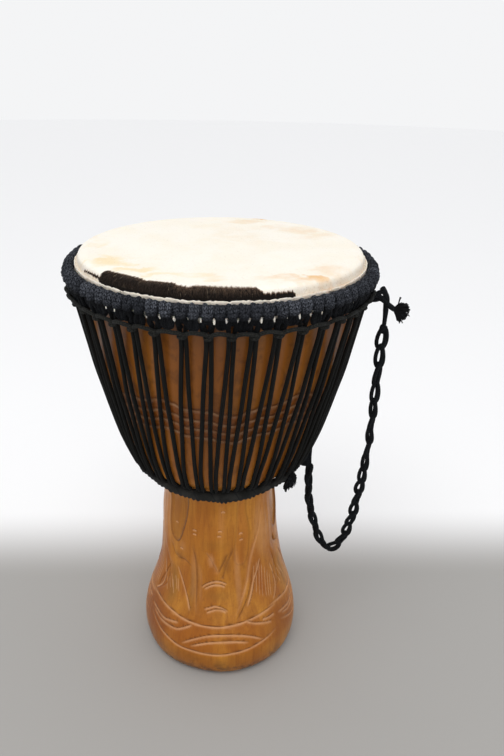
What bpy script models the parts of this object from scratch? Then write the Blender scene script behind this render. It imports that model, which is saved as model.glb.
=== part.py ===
"""A goblet hand drum of West African kind, standing on its foot: a carved wooden
shell, a goatskin head, two rope-bound rings, the lacing between them and a
rope strap. Metres, +Z up, the foot on z = 0, the front of the drum at -Y."""

import math

import bmesh
import bpy
from mathutils import Vector

SEGMENTS = 40

# Outer side of the wooden shell as (height, radius), from the standing rim up
# to the edge that the skin lies on.
FOOT = (
    (0.000, 0.0975), (0.005, 0.1035), (0.016, 0.1080),
    (0.032, 0.1100), (0.054, 0.1080), (0.078, 0.1022),
)
STEM = ((0.103, 0.0942), (0.130, 0.0865), (0.165, 0.0808), (0.215, 0.0768), (0.262, 0.0748))
WAIST = ((0.274, 0.0782), (0.284, 0.0850), (0.292, 0.0905), (0.3004, 0.1008), (0.3104, 0.1110))
BOWL = (
    (0.330, 0.1188), (0.350, 0.1266), (0.390, 0.1378),
    (0.430, 0.1488), (0.480, 0.1584), (0.530, 0.1648),
)
EDGE = ((0.568, 0.1670), (0.5742, 0.1660), (0.5762, 0.1635))
OUTSIDE = FOOT + STEM + WAIST + BOWL + EDGE
# The hollow, from the edge down through the throat to the open foot.
HOLLOW = (
    (0.5745, 0.1590), (0.480, 0.1440), (0.390, 0.1220), (0.330, 0.0960),
    (0.290, 0.0660), (0.262, 0.0500), (0.150, 0.0480), (0.060, 0.0740), (0.000, 0.0850),
)

HEAD_HEIGHT = 0.5779
SKIN_THICKNESS = 0.0013
# The skin's side, its trimmed collar and the fold that sits under the crown.
SKIN_SIDE = ((0.5764, 0.1670), (0.5704, 0.1697), (0.5645, 0.1700))
SKIN_COLLAR = ((0.5672, 0.1712), (0.5668, 0.1725), (0.5535, 0.1722))
SKIN_FOLD = ((0.5500, 0.1762), (0.5450, 0.1764), (0.5440, 0.1700), (0.5455, 0.1676))
SKIN_INSIDE = ((0.5690, 0.1675), (0.5754, 0.1664))
SKIN_FLAT_RADIUS = 0.1590
SKIN_UNDER_RADIUS = 0.1630

CROWN_RADIUS = 0.1800
CROWN_HEIGHT = 0.5590
CROWN_HALF_WIDTH = 0.0070
CROWN_HALF_HEIGHT = 0.0078
CROWN_HITCHES = 84
CROWN_SWELL = 0.0008

PAIRS = 42
# Where the front pairs of the lacing are, in degrees round from the front.
FRONT_PAIRS = (-39.2, -31.0, -22.5, -12.8, -4.3, 3.2, 10.7, 19.0, 28.0, 37.2, 45.9)
LACING_RADIUS = 0.0029
LACING_SIDES = 3
LACING_TOP = (0.5480, 0.1801)
LACING_BOWL = ((0.430, 0.1530), (0.350, 0.1304))
LACING_FOOT = (0.3012, 0.1118)
TOP_HALF_GAP = 0.00268
FOOT_HALF_GAP = 0.00275
# The lacing's lower ends sit a little round to the drum's -X side.
LACING_TURN = -3.2
# The height where two neighbouring ropes come side by side.
MEETING_HEIGHT = 0.335

WEAVE_RADIUS = 0.0036
WEAVE_SIDES = 4
WEAVE_OUT = 0.1839
WEAVE_IN = 0.1812
WEAVE_HEIGHT = 0.5325
WEAVE_RISE = 0.0022

RING_RADIUS = 0.1047
RING_HEIGHT = 0.2914
RING_THICKNESS = 0.0082
RING_SEGMENTS = 48
RING_SIDES = 6

# The strap's hang, from the crown down and back up to the bottom ring.
STRAP_RADIUS = 0.0060
STRAP_SPACING = 0.020
STRAP_ROUTE = (
    (0.1886, -0.0400, 0.5400), (0.1925, -0.0395, 0.5335), (0.1950, -0.0385, 0.5240),
    (0.1960, -0.0372, 0.5030), (0.1955, -0.0358, 0.4760), (0.1953, -0.0347, 0.4480),
    (0.1945, -0.0340, 0.4180), (0.1936, -0.0332, 0.3870), (0.1926, -0.0325, 0.3550),
    (0.1908, -0.0318, 0.3160), (0.1878, -0.0310, 0.2820), (0.1845, -0.0302, 0.2480),
    (0.1797, -0.0295, 0.2090), (0.1730, -0.0288, 0.1815), (0.1640, -0.0280, 0.1635),
    (0.1543, -0.0272, 0.1577), (0.1450, -0.0265, 0.1630), (0.1372, -0.0257, 0.1780),
    (0.1296, -0.0250, 0.2010), (0.1229, -0.0243, 0.2253), (0.1192, -0.0235, 0.2490),
    (0.1178, -0.0230, 0.2720), (0.1176, -0.0228, 0.2885),
)

# The frayed ends: (place, radius) along each. The ring's tail is set out as
# degrees, radius and height round the drum.
STRAP_TAIL = (
    ((0.2024, -0.0400, 0.5300), 0.0012), ((0.2050, -0.0401, 0.5275), 0.0036),
    ((0.2090, -0.0403, 0.5215), 0.0032), ((0.2130, -0.0406, 0.5150), 0.0045),
    ((0.2180, -0.0409, 0.5085), 0.0085), ((0.2225, -0.0410, 0.5035), 0.0070),
)
RING_TAIL = (
    ((53.0, 0.1195, 0.3020), 0.0020), ((52.5, 0.1225, 0.2960), 0.0055),
    ((52.0, 0.1228, 0.2860), 0.0070), ((51.5, 0.1190, 0.2760), 0.0060),
    ((51.5, 0.1165, 0.2700), 0.0045),
)
TAIL_SIDES = 6

GROOVE_HALF_WIDTH = 0.0019
GROOVE_DEPTH = 0.0018
GROOVE_LIFT = 0.0016
GROOVE_TIP = 0.35
# A cutter's corners keep off the shell's own edges by this part of a step.
CUTTER_OFFSET = 0.37

# Wave lines round the bowl: how many waves, how high, where their low is.
WAVES = 8
WAVE_HALF_HEIGHT = 0.013
WAVE_TROUGH = 1.7
WAVE_LEVELS = (0.4350, 0.3950)
WAVE_STEPS = 48

# The line round the foot, and the arches under it: middle and half span in
# degrees, height in the middle, and drop to the ends (a rise if negative).
FOOT_LINE_HEIGHT = 0.0835
FOOT_LINE_DIP = 0.0035
PANEL_MIDDLES = (-1.3, 118.7, 238.7)
PANEL_SWAG = (57.0, 0.0410, -0.0180)
PANEL_ARCH = (30.0, 0.0700, 0.0190)
FRONT_ARCH = (2.0, 20.0, 0.0600, 0.0060)
# The short double arches on the stem, and the slanting lines beside them.
STEM_ARCHES = (
    (-5.5, 11.0, 0.1460, 0.0090), (-5.5, 10.0, 0.1385, 0.0060),
    (-4.0, 9.5, 0.1115, 0.0070), (-3.5, 8.5, 0.1035, 0.0030),
)
SLANTS = (
    ((-44.5, 0.1510), (-27.0, 0.1010), 1.5),
    ((41.0, 0.1510), (28.0, 0.1050), -1.5),
    ((-66.0, 0.0690), (-29.0, 0.0750), 0.0),
)


def clear_scene():
    for item in list(bpy.data.objects):
        bpy.data.objects.remove(item, do_unlink=True)


def material(name, colour, roughness):
    made = bpy.data.materials.new(name)
    made.use_nodes = True
    shader = made.node_tree.nodes["Principled BSDF"]
    shader.inputs["Base Color"].default_value = (*colour, 1.0)
    shader.inputs["Roughness"].default_value = roughness
    made.diffuse_color = (*colour, 1.0)
    return made


def polar(degrees, radius, height):
    """A point round the drum: 0 degrees is the front, 90 is the drum's +X side."""
    turn = math.radians(degrees)
    return Vector((radius * math.sin(turn), -radius * math.cos(turn), height))


def shell_radius(height):
    """The shell's outer radius, straight between its stations."""
    for (low, near), (high, far) in zip(OUTSIDE, OUTSIDE[1:]):
        if height <= high:
            return near + (far - near) * (height - low) / (high - low)
    return OUTSIDE[-1][1]


def shell_frame(degrees, height):
    """A point on the shell's outside and the direction that points out of it."""
    reach = 0.004
    slope = (shell_radius(height + reach) - shell_radius(height - reach)) / (2.0 * reach)
    outward = (polar(degrees, 1.0, 0.0) - Vector((0.0, 0.0, slope))).normalized()
    return polar(degrees, shell_radius(height), height), outward


def add_mesh(name, points, faces, stuff, smooth=True):
    mesh = bpy.data.meshes.new(name)
    mesh.from_pydata([tuple(point) for point in points], [], faces)
    shape = bmesh.new()
    shape.from_mesh(mesh)
    bmesh.ops.recalc_face_normals(shape, faces=shape.faces)
    shape.to_mesh(mesh)
    shape.free()
    mesh.polygons.foreach_set("use_smooth", [smooth] * len(mesh.polygons))
    if stuff is not None:
        mesh.materials.append(stuff)
    made = bpy.data.objects.new(name, mesh)
    bpy.context.scene.collection.objects.link(made)
    return made


def tube_faces(rows, sides, closed, base=0):
    """Faces between the rows of a tube, with end caps unless it is closed."""
    faces = []
    for row in range(rows if closed else rows - 1):
        here = base + row * sides
        after = base + (row + 1) % rows * sides
        for side in range(sides):
            beside = (side + 1) % sides
            faces.append([here + side, here + beside, after + beside, after + side])
    if not closed:
        faces.append([base + side for side in range(sides)])
        faces.append([base + (rows - 1) * sides + side for side in range(sides)])
    return faces


def round_body(name, profile, stuff):
    """Turns a closed loop of (height, radius) stations about the drum's axis."""
    points = []
    faces = []
    rows = []
    for height, radius in profile:
        if radius == 0.0:
            rows.append([len(points)] * SEGMENTS)
            points.append(Vector((0.0, 0.0, height)))
        else:
            rows.append(list(range(len(points), len(points) + SEGMENTS)))
            points += [polar(360.0 * step / SEGMENTS, radius, height) for step in range(SEGMENTS)]
    for lower, upper in zip(rows, rows[1:] + rows[:1]):
        if lower[0] == lower[1] and upper[0] == upper[1]:
            continue
        for step in range(SEGMENTS):
            after = (step + 1) % SEGMENTS
            corners = [lower[step], lower[after], upper[after], upper[step]]
            faces.append(list(dict.fromkeys(corners)))
    return add_mesh(name, points, faces, stuff)


def ring_body(name, radius, height, section_at, segments, sides, stuff):
    """A closed ring round the drum whose section may change on the way round."""
    points = []
    for step in range(segments):
        for side in range(sides):
            out, up = section_at(step, 2.0 * math.pi * (side + 0.5) / sides)
            points.append(polar(360.0 * step / segments, radius + out, height + up))
    return add_mesh(name, points, tube_faces(segments, sides, closed=True), stuff)


def rope_body(name, path, radii, sides, stuff, closed):
    """Sweeps a round rope along a path that never runs straight out from the axis.
    A three-sided one keeps its flat side towards the drum."""
    points = []
    count = len(path)
    first_side = 0.75 if sides == 3 else 0.5
    for index, here in enumerate(path):
        back = path[index - 1] if closed or index > 0 else here
        ahead = path[(index + 1) % count] if closed or index < count - 1 else here
        along = ((here - back).normalized() + (ahead - here).normalized()).normalized()
        outward = Vector((here.x, here.y, 0.0)).normalized()
        outward = (outward - along * outward.dot(along)).normalized()
        beside = along.cross(outward)
        for side in range(sides):
            angle = 2.0 * math.pi * (side + first_side) / sides
            offset = outward * math.sin(angle) + beside * math.cos(angle)
            points.append(here + offset * radii[index])
    return add_mesh(name, points, tube_faces(count, sides, closed), stuff)


def groove(marks, closed=False):
    """Points and faces of a V-shaped cutter along (degrees, height) marks on the shell."""
    spots = [shell_frame(degrees, height) for degrees, height in marks]
    points = []
    count = len(spots)
    for index, (here, outward) in enumerate(spots):
        back = spots[index - 1][0] if closed or index > 0 else here
        ahead = spots[(index + 1) % count][0] if closed or index < count - 1 else here
        beside = (ahead - back).cross(outward).normalized()
        size = GROOVE_TIP if not closed and index in (0, count - 1) else 1.0
        spread = beside * GROOVE_HALF_WIDTH * size * (1.0 + GROOVE_LIFT / GROOVE_DEPTH)
        rim = here + outward * GROOVE_LIFT
        points += [here - outward * GROOVE_DEPTH * size, rim + spread, rim - spread]
    return points, tube_faces(count, 3, closed)


def arch(middle, half_span, height, drop, steps):
    """Marks along an arch on the shell."""
    marks = []
    for step in range(steps + 1):
        along = 2.0 * step / steps - 1.0
        marks.append((middle + half_span * along, height - drop * along * along))
    return marks


def slant(start, end, bow, steps):
    """Marks along a slanting line that bows sideways by some degrees."""
    marks = []
    for step in range(steps + 1):
        part = step / steps
        degrees = start[0] + (end[0] - start[0]) * part + bow * math.sin(math.pi * part)
        marks.append((degrees, start[1] + (end[1] - start[1]) * part))
    return marks


def round_line(height_at, steps):
    """Marks along a line that runs right round the shell."""
    marks = []
    for step in range(steps):
        degrees = 360.0 * (step + CUTTER_OFFSET) / steps
        marks.append((degrees, height_at(degrees)))
    return marks


def cut(target, name, grooves):
    points = []
    faces = []
    for groove_points, groove_faces in grooves:
        base = len(points)
        points += groove_points
        faces += [[base + corner for corner in face] for face in groove_faces]
    helper = add_mesh(name, points, faces, None, smooth=False)
    helper.hide_render = True
    helper.display_type = "WIRE"
    modifier = target.modifiers.new(name, "BOOLEAN")
    modifier.operation = "DIFFERENCE"
    modifier.solver = "EXACT"
    modifier.object = helper


def wave_line(level):
    """A carved wave round the bowl, lowest at WAVE_TROUGH."""
    def height_at(degrees):
        return level - WAVE_HALF_HEIGHT * math.cos(math.radians((degrees - WAVE_TROUGH) * WAVES))

    return groove(round_line(height_at, WAVE_STEPS), closed=True)


def foot_line():
    """The carved line round the foot, which dips once in each of the three panels."""
    def height_at(degrees):
        return FOOT_LINE_HEIGHT - FOOT_LINE_DIP * math.cos(math.radians(degrees * len(PANEL_MIDDLES)))

    return groove(round_line(height_at, WAVE_STEPS), closed=True)


def panel_grooves():
    grooves = []
    for middle in PANEL_MIDDLES:
        grooves.append(groove(arch(middle, *PANEL_SWAG, steps=12)))
        grooves.append(groove(arch(middle, *PANEL_ARCH, steps=6)))
    grooves.append(groove(arch(*FRONT_ARCH, steps=5)))
    for stem_arch in STEM_ARCHES:
        grooves.append(groove(arch(*stem_arch, steps=3)))
    for start, end, bow in SLANTS:
        grooves.append(groove(slant(start, end, bow, steps=4)))
    return grooves


def build_shell(wood):
    shell = round_body("shell", OUTSIDE + HOLLOW, wood)
    cut(shell, "foot_line_cutter", [foot_line()])
    cut(shell, "panel_cutter", panel_grooves())
    cut(shell, "wave_cutter", [wave_line(level) for level in WAVE_LEVELS])


def build_drumhead(skin):
    under = HEAD_HEIGHT - SKIN_THICKNESS
    top_side = ((HEAD_HEIGHT, 0.0), (HEAD_HEIGHT, SKIN_FLAT_RADIUS)) + SKIN_SIDE
    under_side = SKIN_INSIDE + ((under, SKIN_UNDER_RADIUS), (under, 0.0))
    round_body("drumhead", top_side + SKIN_COLLAR + SKIN_FOLD + under_side, skin)


def build_crown(rope):
    """The ring of hitches: each swells, and the ring draws in between two of them."""
    def section(step, angle):
        swell = CROWN_SWELL if step % 2 == 0 else -CROWN_SWELL
        if math.cos(angle) < -0.2:
            swell = 0.0
        out = (CROWN_HALF_WIDTH + swell) * math.cos(angle)
        up = (CROWN_HALF_HEIGHT + swell) * math.sin(angle)
        return out, up

    ring_body("crown_ring", CROWN_RADIUS, CROWN_HEIGHT, section, 2 * CROWN_HITCHES, 5, rope)


def pair_angles():
    """Degrees of every pair of ropes: the front ones, then the rest evenly to where they start."""
    rest = PAIRS - len(FRONT_PAIRS)
    step = (360.0 + FRONT_PAIRS[0] - FRONT_PAIRS[-1]) / (rest + 1)
    return list(FRONT_PAIRS) + [FRONT_PAIRS[-1] + step * (index + 1) for index in range(rest)]


def pair_spans():
    """Each pair's degrees and those of the pair after it."""
    angles = pair_angles()
    return list(zip(angles, angles[1:] + [angles[0] + 360.0]))


def build_lacing(rope):
    """One rope that runs down from each pair, turns at the bottom ring and
    comes up in the next pair."""
    stations = (LACING_TOP,) + LACING_BOWL + (LACING_FOOT,)
    top_gap = math.degrees(TOP_HALF_GAP / LACING_TOP[1])
    foot_gap = math.degrees(FOOT_HALF_GAP / LACING_FOOT[1])
    fall = LACING_TOP[0] - MEETING_HEIGHT
    path = []
    for angle, following in pair_spans():
        middle = (angle + following) / 2.0 + LACING_TURN
        legs = (
            (angle + top_gap, middle - foot_gap, stations),
            (following - top_gap, middle + foot_gap, stations[::-1]),
        )
        for top, foot, heights in legs:
            for height, radius in heights:
                part = min(1.0, (LACING_TOP[0] - height) / fall)
                path.append(polar(top + (foot - top) * part, radius, height))
    rope_body("lacing", path, [LACING_RADIUS] * len(path), LACING_SIDES, rope, closed=True)


def build_weave(rope):
    """The rope round under the crown: out and low over a pair, in and high between two."""
    path = []
    for angle, following in pair_spans():
        for part in (0.0, 0.36, 0.64):
            lift = 0.5 - 0.5 * math.cos(2.0 * math.pi * part)
            radius = WEAVE_OUT + (WEAVE_IN - WEAVE_OUT) * lift
            height = WEAVE_HEIGHT + WEAVE_RISE * (2.0 * lift - 1.0)
            path.append(polar(angle + (following - angle) * part, radius, height))
    rope_body("weave_rope", path, [WEAVE_RADIUS] * len(path), WEAVE_SIDES, rope, closed=True)


def build_bottom_ring(cloth):
    def section(step, angle):
        return RING_THICKNESS * math.cos(angle), RING_THICKNESS * math.sin(angle)

    ring_body("bottom_ring", RING_RADIUS, RING_HEIGHT, section, RING_SEGMENTS, RING_SIDES, cloth)


def smooth_route(route, spacing):
    """Even points along a smooth curve through the route's own points."""
    spots = [Vector(spot) for spot in route]
    steps = 12
    dense = []
    for index in range(len(spots) - 1):
        before = spots[max(index - 1, 0)]
        here = spots[index]
        there = spots[index + 1]
        after = spots[min(index + 2, len(spots) - 1)]
        for step in range(steps):
            part = step / steps
            straight = (there - before) * part
            bend = (2.0 * before - 5.0 * here + 4.0 * there - after) * part ** 2
            twist = (3.0 * here - before - 3.0 * there + after) * part ** 3
            dense.append(here + 0.5 * (straight + bend + twist))
    dense.append(spots[-1])
    runs = [0.0]
    for start, end in zip(dense, dense[1:]):
        runs.append(runs[-1] + (end - start).length)
    count = round(runs[-1] / spacing)
    even = [dense[0]]
    at = 0
    for step in range(1, count):
        wanted = runs[-1] * step / count
        while runs[at + 1] < wanted:
            at += 1
        even.append(dense[at].lerp(dense[at + 1], (wanted - runs[at]) / (runs[at + 1] - runs[at])))
    return even + [dense[-1]]


def build_strap(rope):
    curve = bpy.data.curves.new("strap", "CURVE")
    curve.dimensions = "3D"
    curve.bevel_depth = STRAP_RADIUS
    curve.bevel_resolution = 2
    curve.use_fill_caps = True
    spots = smooth_route(STRAP_ROUTE, STRAP_SPACING)
    spline = curve.splines.new("POLY")
    spline.points.add(len(spots) - 1)
    for point, spot in zip(spline.points, spots):
        point.co = (*spot, 1.0)
    spline.use_smooth = True
    curve.materials.append(rope)
    made = bpy.data.objects.new("strap", curve)
    bpy.context.scene.collection.objects.link(made)


def build_tails(rope):
    strap_end = [Vector(place) for place, radius in STRAP_TAIL]
    strap_radii = [radius for place, radius in STRAP_TAIL]
    rope_body("strap_tail", strap_end, strap_radii, TAIL_SIDES, rope, closed=False)
    ring_end = [polar(*place) for place, radius in RING_TAIL]
    ring_radii = [radius for place, radius in RING_TAIL]
    rope_body("ring_tail", ring_end, ring_radii, TAIL_SIDES, rope, closed=False)


def build():
    clear_scene()
    wood = material("wood", (0.50, 0.22, 0.06), 0.35)
    skin = material("goatskin", (0.82, 0.76, 0.63), 0.55)
    rope = material("black_rope", (0.020, 0.022, 0.025), 0.75)
    cloth = material("black_binding", (0.026, 0.028, 0.030), 0.80)
    build_shell(wood)
    build_drumhead(skin)
    build_crown(rope)
    build_weave(rope)
    build_lacing(rope)
    build_bottom_ring(cloth)
    build_strap(rope)
    build_tails(rope)


build()
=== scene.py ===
"""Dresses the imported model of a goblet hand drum: carved wood, goatskin with a
strip of hair left on, rope crown, lacing, bound ring and chain-stitched strap.
Metres, +Z up, the drum's front at -Y, angles in degrees round from the front."""

import math

import bmesh
import bpy
import numpy as np
from mathutils import Matrix, Vector


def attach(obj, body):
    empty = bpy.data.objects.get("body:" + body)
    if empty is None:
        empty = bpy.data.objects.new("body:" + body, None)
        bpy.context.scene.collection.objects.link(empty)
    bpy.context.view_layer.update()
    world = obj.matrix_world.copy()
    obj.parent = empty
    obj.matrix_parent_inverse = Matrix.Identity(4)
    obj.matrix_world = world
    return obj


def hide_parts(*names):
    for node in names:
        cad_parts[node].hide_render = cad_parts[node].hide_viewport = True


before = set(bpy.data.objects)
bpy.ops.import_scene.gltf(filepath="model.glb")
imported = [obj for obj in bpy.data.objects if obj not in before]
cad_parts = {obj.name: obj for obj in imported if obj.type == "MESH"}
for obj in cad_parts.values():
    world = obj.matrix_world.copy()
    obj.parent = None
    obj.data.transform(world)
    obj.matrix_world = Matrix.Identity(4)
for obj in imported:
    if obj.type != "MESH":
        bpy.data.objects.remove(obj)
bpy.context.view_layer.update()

# Camera: where it stands, how far it looks down, turns to +X and leans.
CAMERA_PLACE = (-0.0004, -0.8643, 0.7973)
CAMERA_DOWN = 24.394
CAMERA_TURN = 2.638
CAMERA_LEAN = 1.256
LENS = 35.0
SENSOR_WIDTH = 36.0
# Lights: name, place, what it is aimed at, width and power.
LIGHTS = (
    ("key", (-0.35, -0.95, 2.2), (0.0, 0.0, 0.4), 1.2, 11.0),
    ("front", (0.3, -1.9, 1.0), (0.0, 0.0, 0.15), 1.0, 3.0),
)
LIGHT_COLOUR = (1.0, 0.99, 0.97)
SKY_COLOUR = (0.985, 0.99, 1.0, 1.0)
SKY_STRENGTH = 0.92
FLOOR_REACH = 8.0
FLOOR_STEPS = 96
FLOOR_NEAR = (0.405, 0.395, 0.38)
FLOOR_FAR = (0.965, 0.965, 0.97)

# The shell's outside and hollow as (height, radius).
SHELL_OUTSIDE = (
    (0.0, 0.0975), (0.004, 0.1028), (0.01, 0.1062), (0.018, 0.1086), (0.032, 0.11),
    (0.054, 0.108), (0.078, 0.1022), (0.103, 0.0942), (0.13, 0.0868), (0.165, 0.0816),
    (0.215, 0.0784), (0.262, 0.0764), (0.274, 0.0792), (0.284, 0.0852), (0.292, 0.0912),
    (0.3004, 0.1016), (0.3104, 0.1124), (0.33, 0.1212), (0.35, 0.1286), (0.39, 0.1397),
    (0.43, 0.1504), (0.48, 0.1596), (0.53, 0.165), (0.568, 0.1668), (0.5735, 0.166),
    (0.576, 0.164),
)
# How far the carved throat stands to one side of the axis: (height, metres to +X).
THROAT_OFFSET = (
    (0.14, 0.0), (0.19, -0.0024), (0.27, -0.0024), (0.32, -0.0012), (0.38, -0.0006), (0.45, 0.0),
)
SHELL_HOLLOW = (
    (0.5745, 0.159), (0.53, 0.152), (0.48, 0.144), (0.435, 0.1335), (0.39, 0.122),
    (0.36, 0.1095), (0.33, 0.096), (0.31, 0.0812), (0.29, 0.066), (0.275, 0.057),
    (0.262, 0.051), (0.21, 0.049), (0.15, 0.048), (0.105, 0.0605), (0.06, 0.074),
    (0.03, 0.0795), (0.004, 0.0835), (0.0, 0.085),
)

HEAD_HEIGHT = 0.5779

PAIRS = 42
FRONT_PAIRS = (-39.2, -31.0, -22.5, -12.8, -4.3, 3.2, 10.7, 19.0, 28.0, 37.2, 45.9)
LACING_RADIUS = 0.0025
# Centre line of the lacing from the bottom ring up to the crown: (height, radius).
LACING_LINE = (
    (0.297, 0.103), (0.301, 0.1056), (0.3104, 0.1166), (0.3273, 0.124), (0.349, 0.1322),
    (0.3803, 0.1412), (0.4406, 0.1573), (0.5, 0.1697), (0.5371, 0.1774), (0.546, 0.179),
)
PAIR_HALF_GAP = 0.00262
# Above the weave the two strands of a pair open again to reach their hitches.
PAIR_OPEN_GAP = 0.0018
WEAVE_TOP = 0.5335
PAIR_TIED_TO = 0.515
FOOT_HALF_GAP = 0.0027
LACING_TURN = -3.2
MEETING_HEIGHT = 0.335

CROWN_RADIUS = 0.18
CROWN_HEIGHT = 0.559
HITCHES = 84

RING_RADIUS = 0.1047
RING_HEIGHT = 0.2914
RING_THICKNESS = 0.0082
# The ring hangs lowest in front: towards the sides it is thinner, wider and higher.
RING_FRONT_RISE = 0.0016
RING_SIDE_RISE = 0.012
RING_SIDE_WIDER = 0.006
RING_SIDE_THINNER = 0.003
RING_FRONT_REACH = 70.0

# The strap's hang, the same points as its solid's.
STRAP_ROUTE = (
    (0.1886, -0.0400, 0.5400), (0.1925, -0.0395, 0.5335), (0.1950, -0.0385, 0.5240),
    (0.1960, -0.0372, 0.5030), (0.1955, -0.0358, 0.4760), (0.1953, -0.0347, 0.4480),
    (0.1945, -0.0340, 0.4180), (0.1936, -0.0332, 0.3870), (0.1926, -0.0325, 0.3550),
    (0.1908, -0.0318, 0.3160), (0.1878, -0.0310, 0.2820), (0.1845, -0.0302, 0.2480),
    (0.1797, -0.0295, 0.2090), (0.1730, -0.0288, 0.1815), (0.1640, -0.0280, 0.1635),
    (0.1543, -0.0272, 0.1577), (0.1450, -0.0265, 0.1630), (0.1372, -0.0257, 0.1780),
    (0.1296, -0.0250, 0.2010), (0.1229, -0.0243, 0.2253), (0.1192, -0.0235, 0.2490),
    (0.1178, -0.0230, 0.2720), (0.1176, -0.0228, 0.2885),
)
# How far the chain has settled from each point of its route: to +X and up.
STRAP_SETTLES = (
    (0.0, 0.0), (0.0, 0.0), (0.0, 0.0), (0.0, 0.0), (-0.0004, 0.0), (-0.0007, 0.0), (-0.0005, 0.0),
    (0.0, 0.0), (0.0004, 0.0), (0.0006, 0.0), (0.0006, 0.0), (0.0002, 0.0), (-0.0008, 0.0),
    (-0.0016, -0.0006), (-0.002, -0.001), (-0.0021, -0.0012), (-0.0022, -0.001),
    (-0.0022, -0.0006), (-0.0022, 0.0), (-0.0017, 0.0), (-0.0009, 0.0), (-0.0003, 0.0), (0.0, 0.0),
)
# How far the links' faces are turned to lie across the view of the front.
STRAP_FACE = 90.0


def aim_camera():
    down = math.radians(CAMERA_DOWN)
    turn = math.radians(CAMERA_TURN)
    lean = math.radians(CAMERA_LEAN)
    ahead = Vector((math.sin(turn) * math.cos(down), math.cos(turn) * math.cos(down), -math.sin(down)))
    level = Vector((math.cos(turn), -math.sin(turn), 0.0))
    upright = level.cross(ahead)
    right = level * math.cos(lean) + upright * math.sin(lean)
    up = upright * math.cos(lean) - level * math.sin(lean)
    data = bpy.data.cameras.new("camera")
    data.lens = LENS
    data.sensor_width = SENSOR_WIDTH
    data.clip_start = 0.01
    camera = bpy.data.objects.new("camera", data)
    turned = Matrix((right, up, -ahead)).transposed()
    camera.matrix_world = Matrix.Translation(CAMERA_PLACE) @ turned.to_4x4()
    bpy.context.scene.collection.objects.link(camera)
    bpy.context.scene.camera = camera


def add_light(name, place, target, width, power):
    data = bpy.data.lights.new(name, "AREA")
    data.shape = "DISK"
    data.size = width
    data.energy = power
    data.color = LIGHT_COLOUR
    light = bpy.data.objects.new(name, data)
    light.location = place
    light.rotation_mode = "QUATERNION"
    light.rotation_quaternion = (Vector(target) - Vector(place)).to_track_quat("-Z", "Y")
    bpy.context.scene.collection.objects.link(light)


def light_the_stage():
    scene = bpy.context.scene
    scene.view_settings.view_transform = "Standard"
    scene.view_settings.look = "None"
    world = bpy.data.worlds.new("studio")
    world.use_nodes = True
    backdrop = world.node_tree.nodes["Background"]
    backdrop.inputs["Color"].default_value = SKY_COLOUR
    backdrop.inputs["Strength"].default_value = SKY_STRENGTH
    scene.world = world
    for light in LIGHTS:
        add_light(*light)
    mesh = bpy.data.meshes.new("floor")
    rim = [tuple(polar(360.0 * step / FLOOR_STEPS, FLOOR_REACH, 0.0)) for step in range(FLOOR_STEPS)]
    mesh.from_pydata(rim, [], [tuple(range(FLOOR_STEPS))])
    floor = bpy.data.objects.new("floor", mesh)
    scene.collection.objects.link(floor)
    paint = Paint("pale_floor")
    apart = paint.node("ShaderNodeVectorMath", {0: paint.place()}, operation="LENGTH")
    # Grey close to the foot, nearly white further off and sooner towards the back.
    behind = paint.span(paint.split(paint.place())["Y"], 0.1, 0.3)
    tone = paint.sums("MAXIMUM", behind, paint.span(apart.outputs["Value"], 0.6, 1.4))
    paint.finish({
        "Base Color": paint.blend(tone, FLOOR_NEAR, FLOOR_FAR), "Roughness": 0.9, "Specular IOR Level": 0.1,
    })
    mesh.materials.append(paint.material)


class Nodes:
    """A node tree and short ways to add its nodes."""

    def node(self, kind, feeds=(), **settings):
        made = self.tree.nodes.new(kind)
        for key, value in settings.items():
            setattr(made, key, value)
        for key, value in dict(feeds).items():
            self.feed(made.inputs[key], value)
        return made

    def feed(self, socket, value):
        if isinstance(value, bpy.types.NodeSocket):
            self.tree.links.new(value, socket)
        elif value is not None:
            socket.default_value = value

    def sums(self, operation, first, second=0.0, third=0.0, clamp=False):
        feeds = {0: first, 1: second, 2: third}
        return self.node("ShaderNodeMath", feeds, operation=operation, use_clamp=clamp).outputs["Value"]

    def split(self, vector):
        """The X, Y and Z of a vector."""
        return self.node("ShaderNodeSeparateXYZ", {"Vector": vector}).outputs


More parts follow.
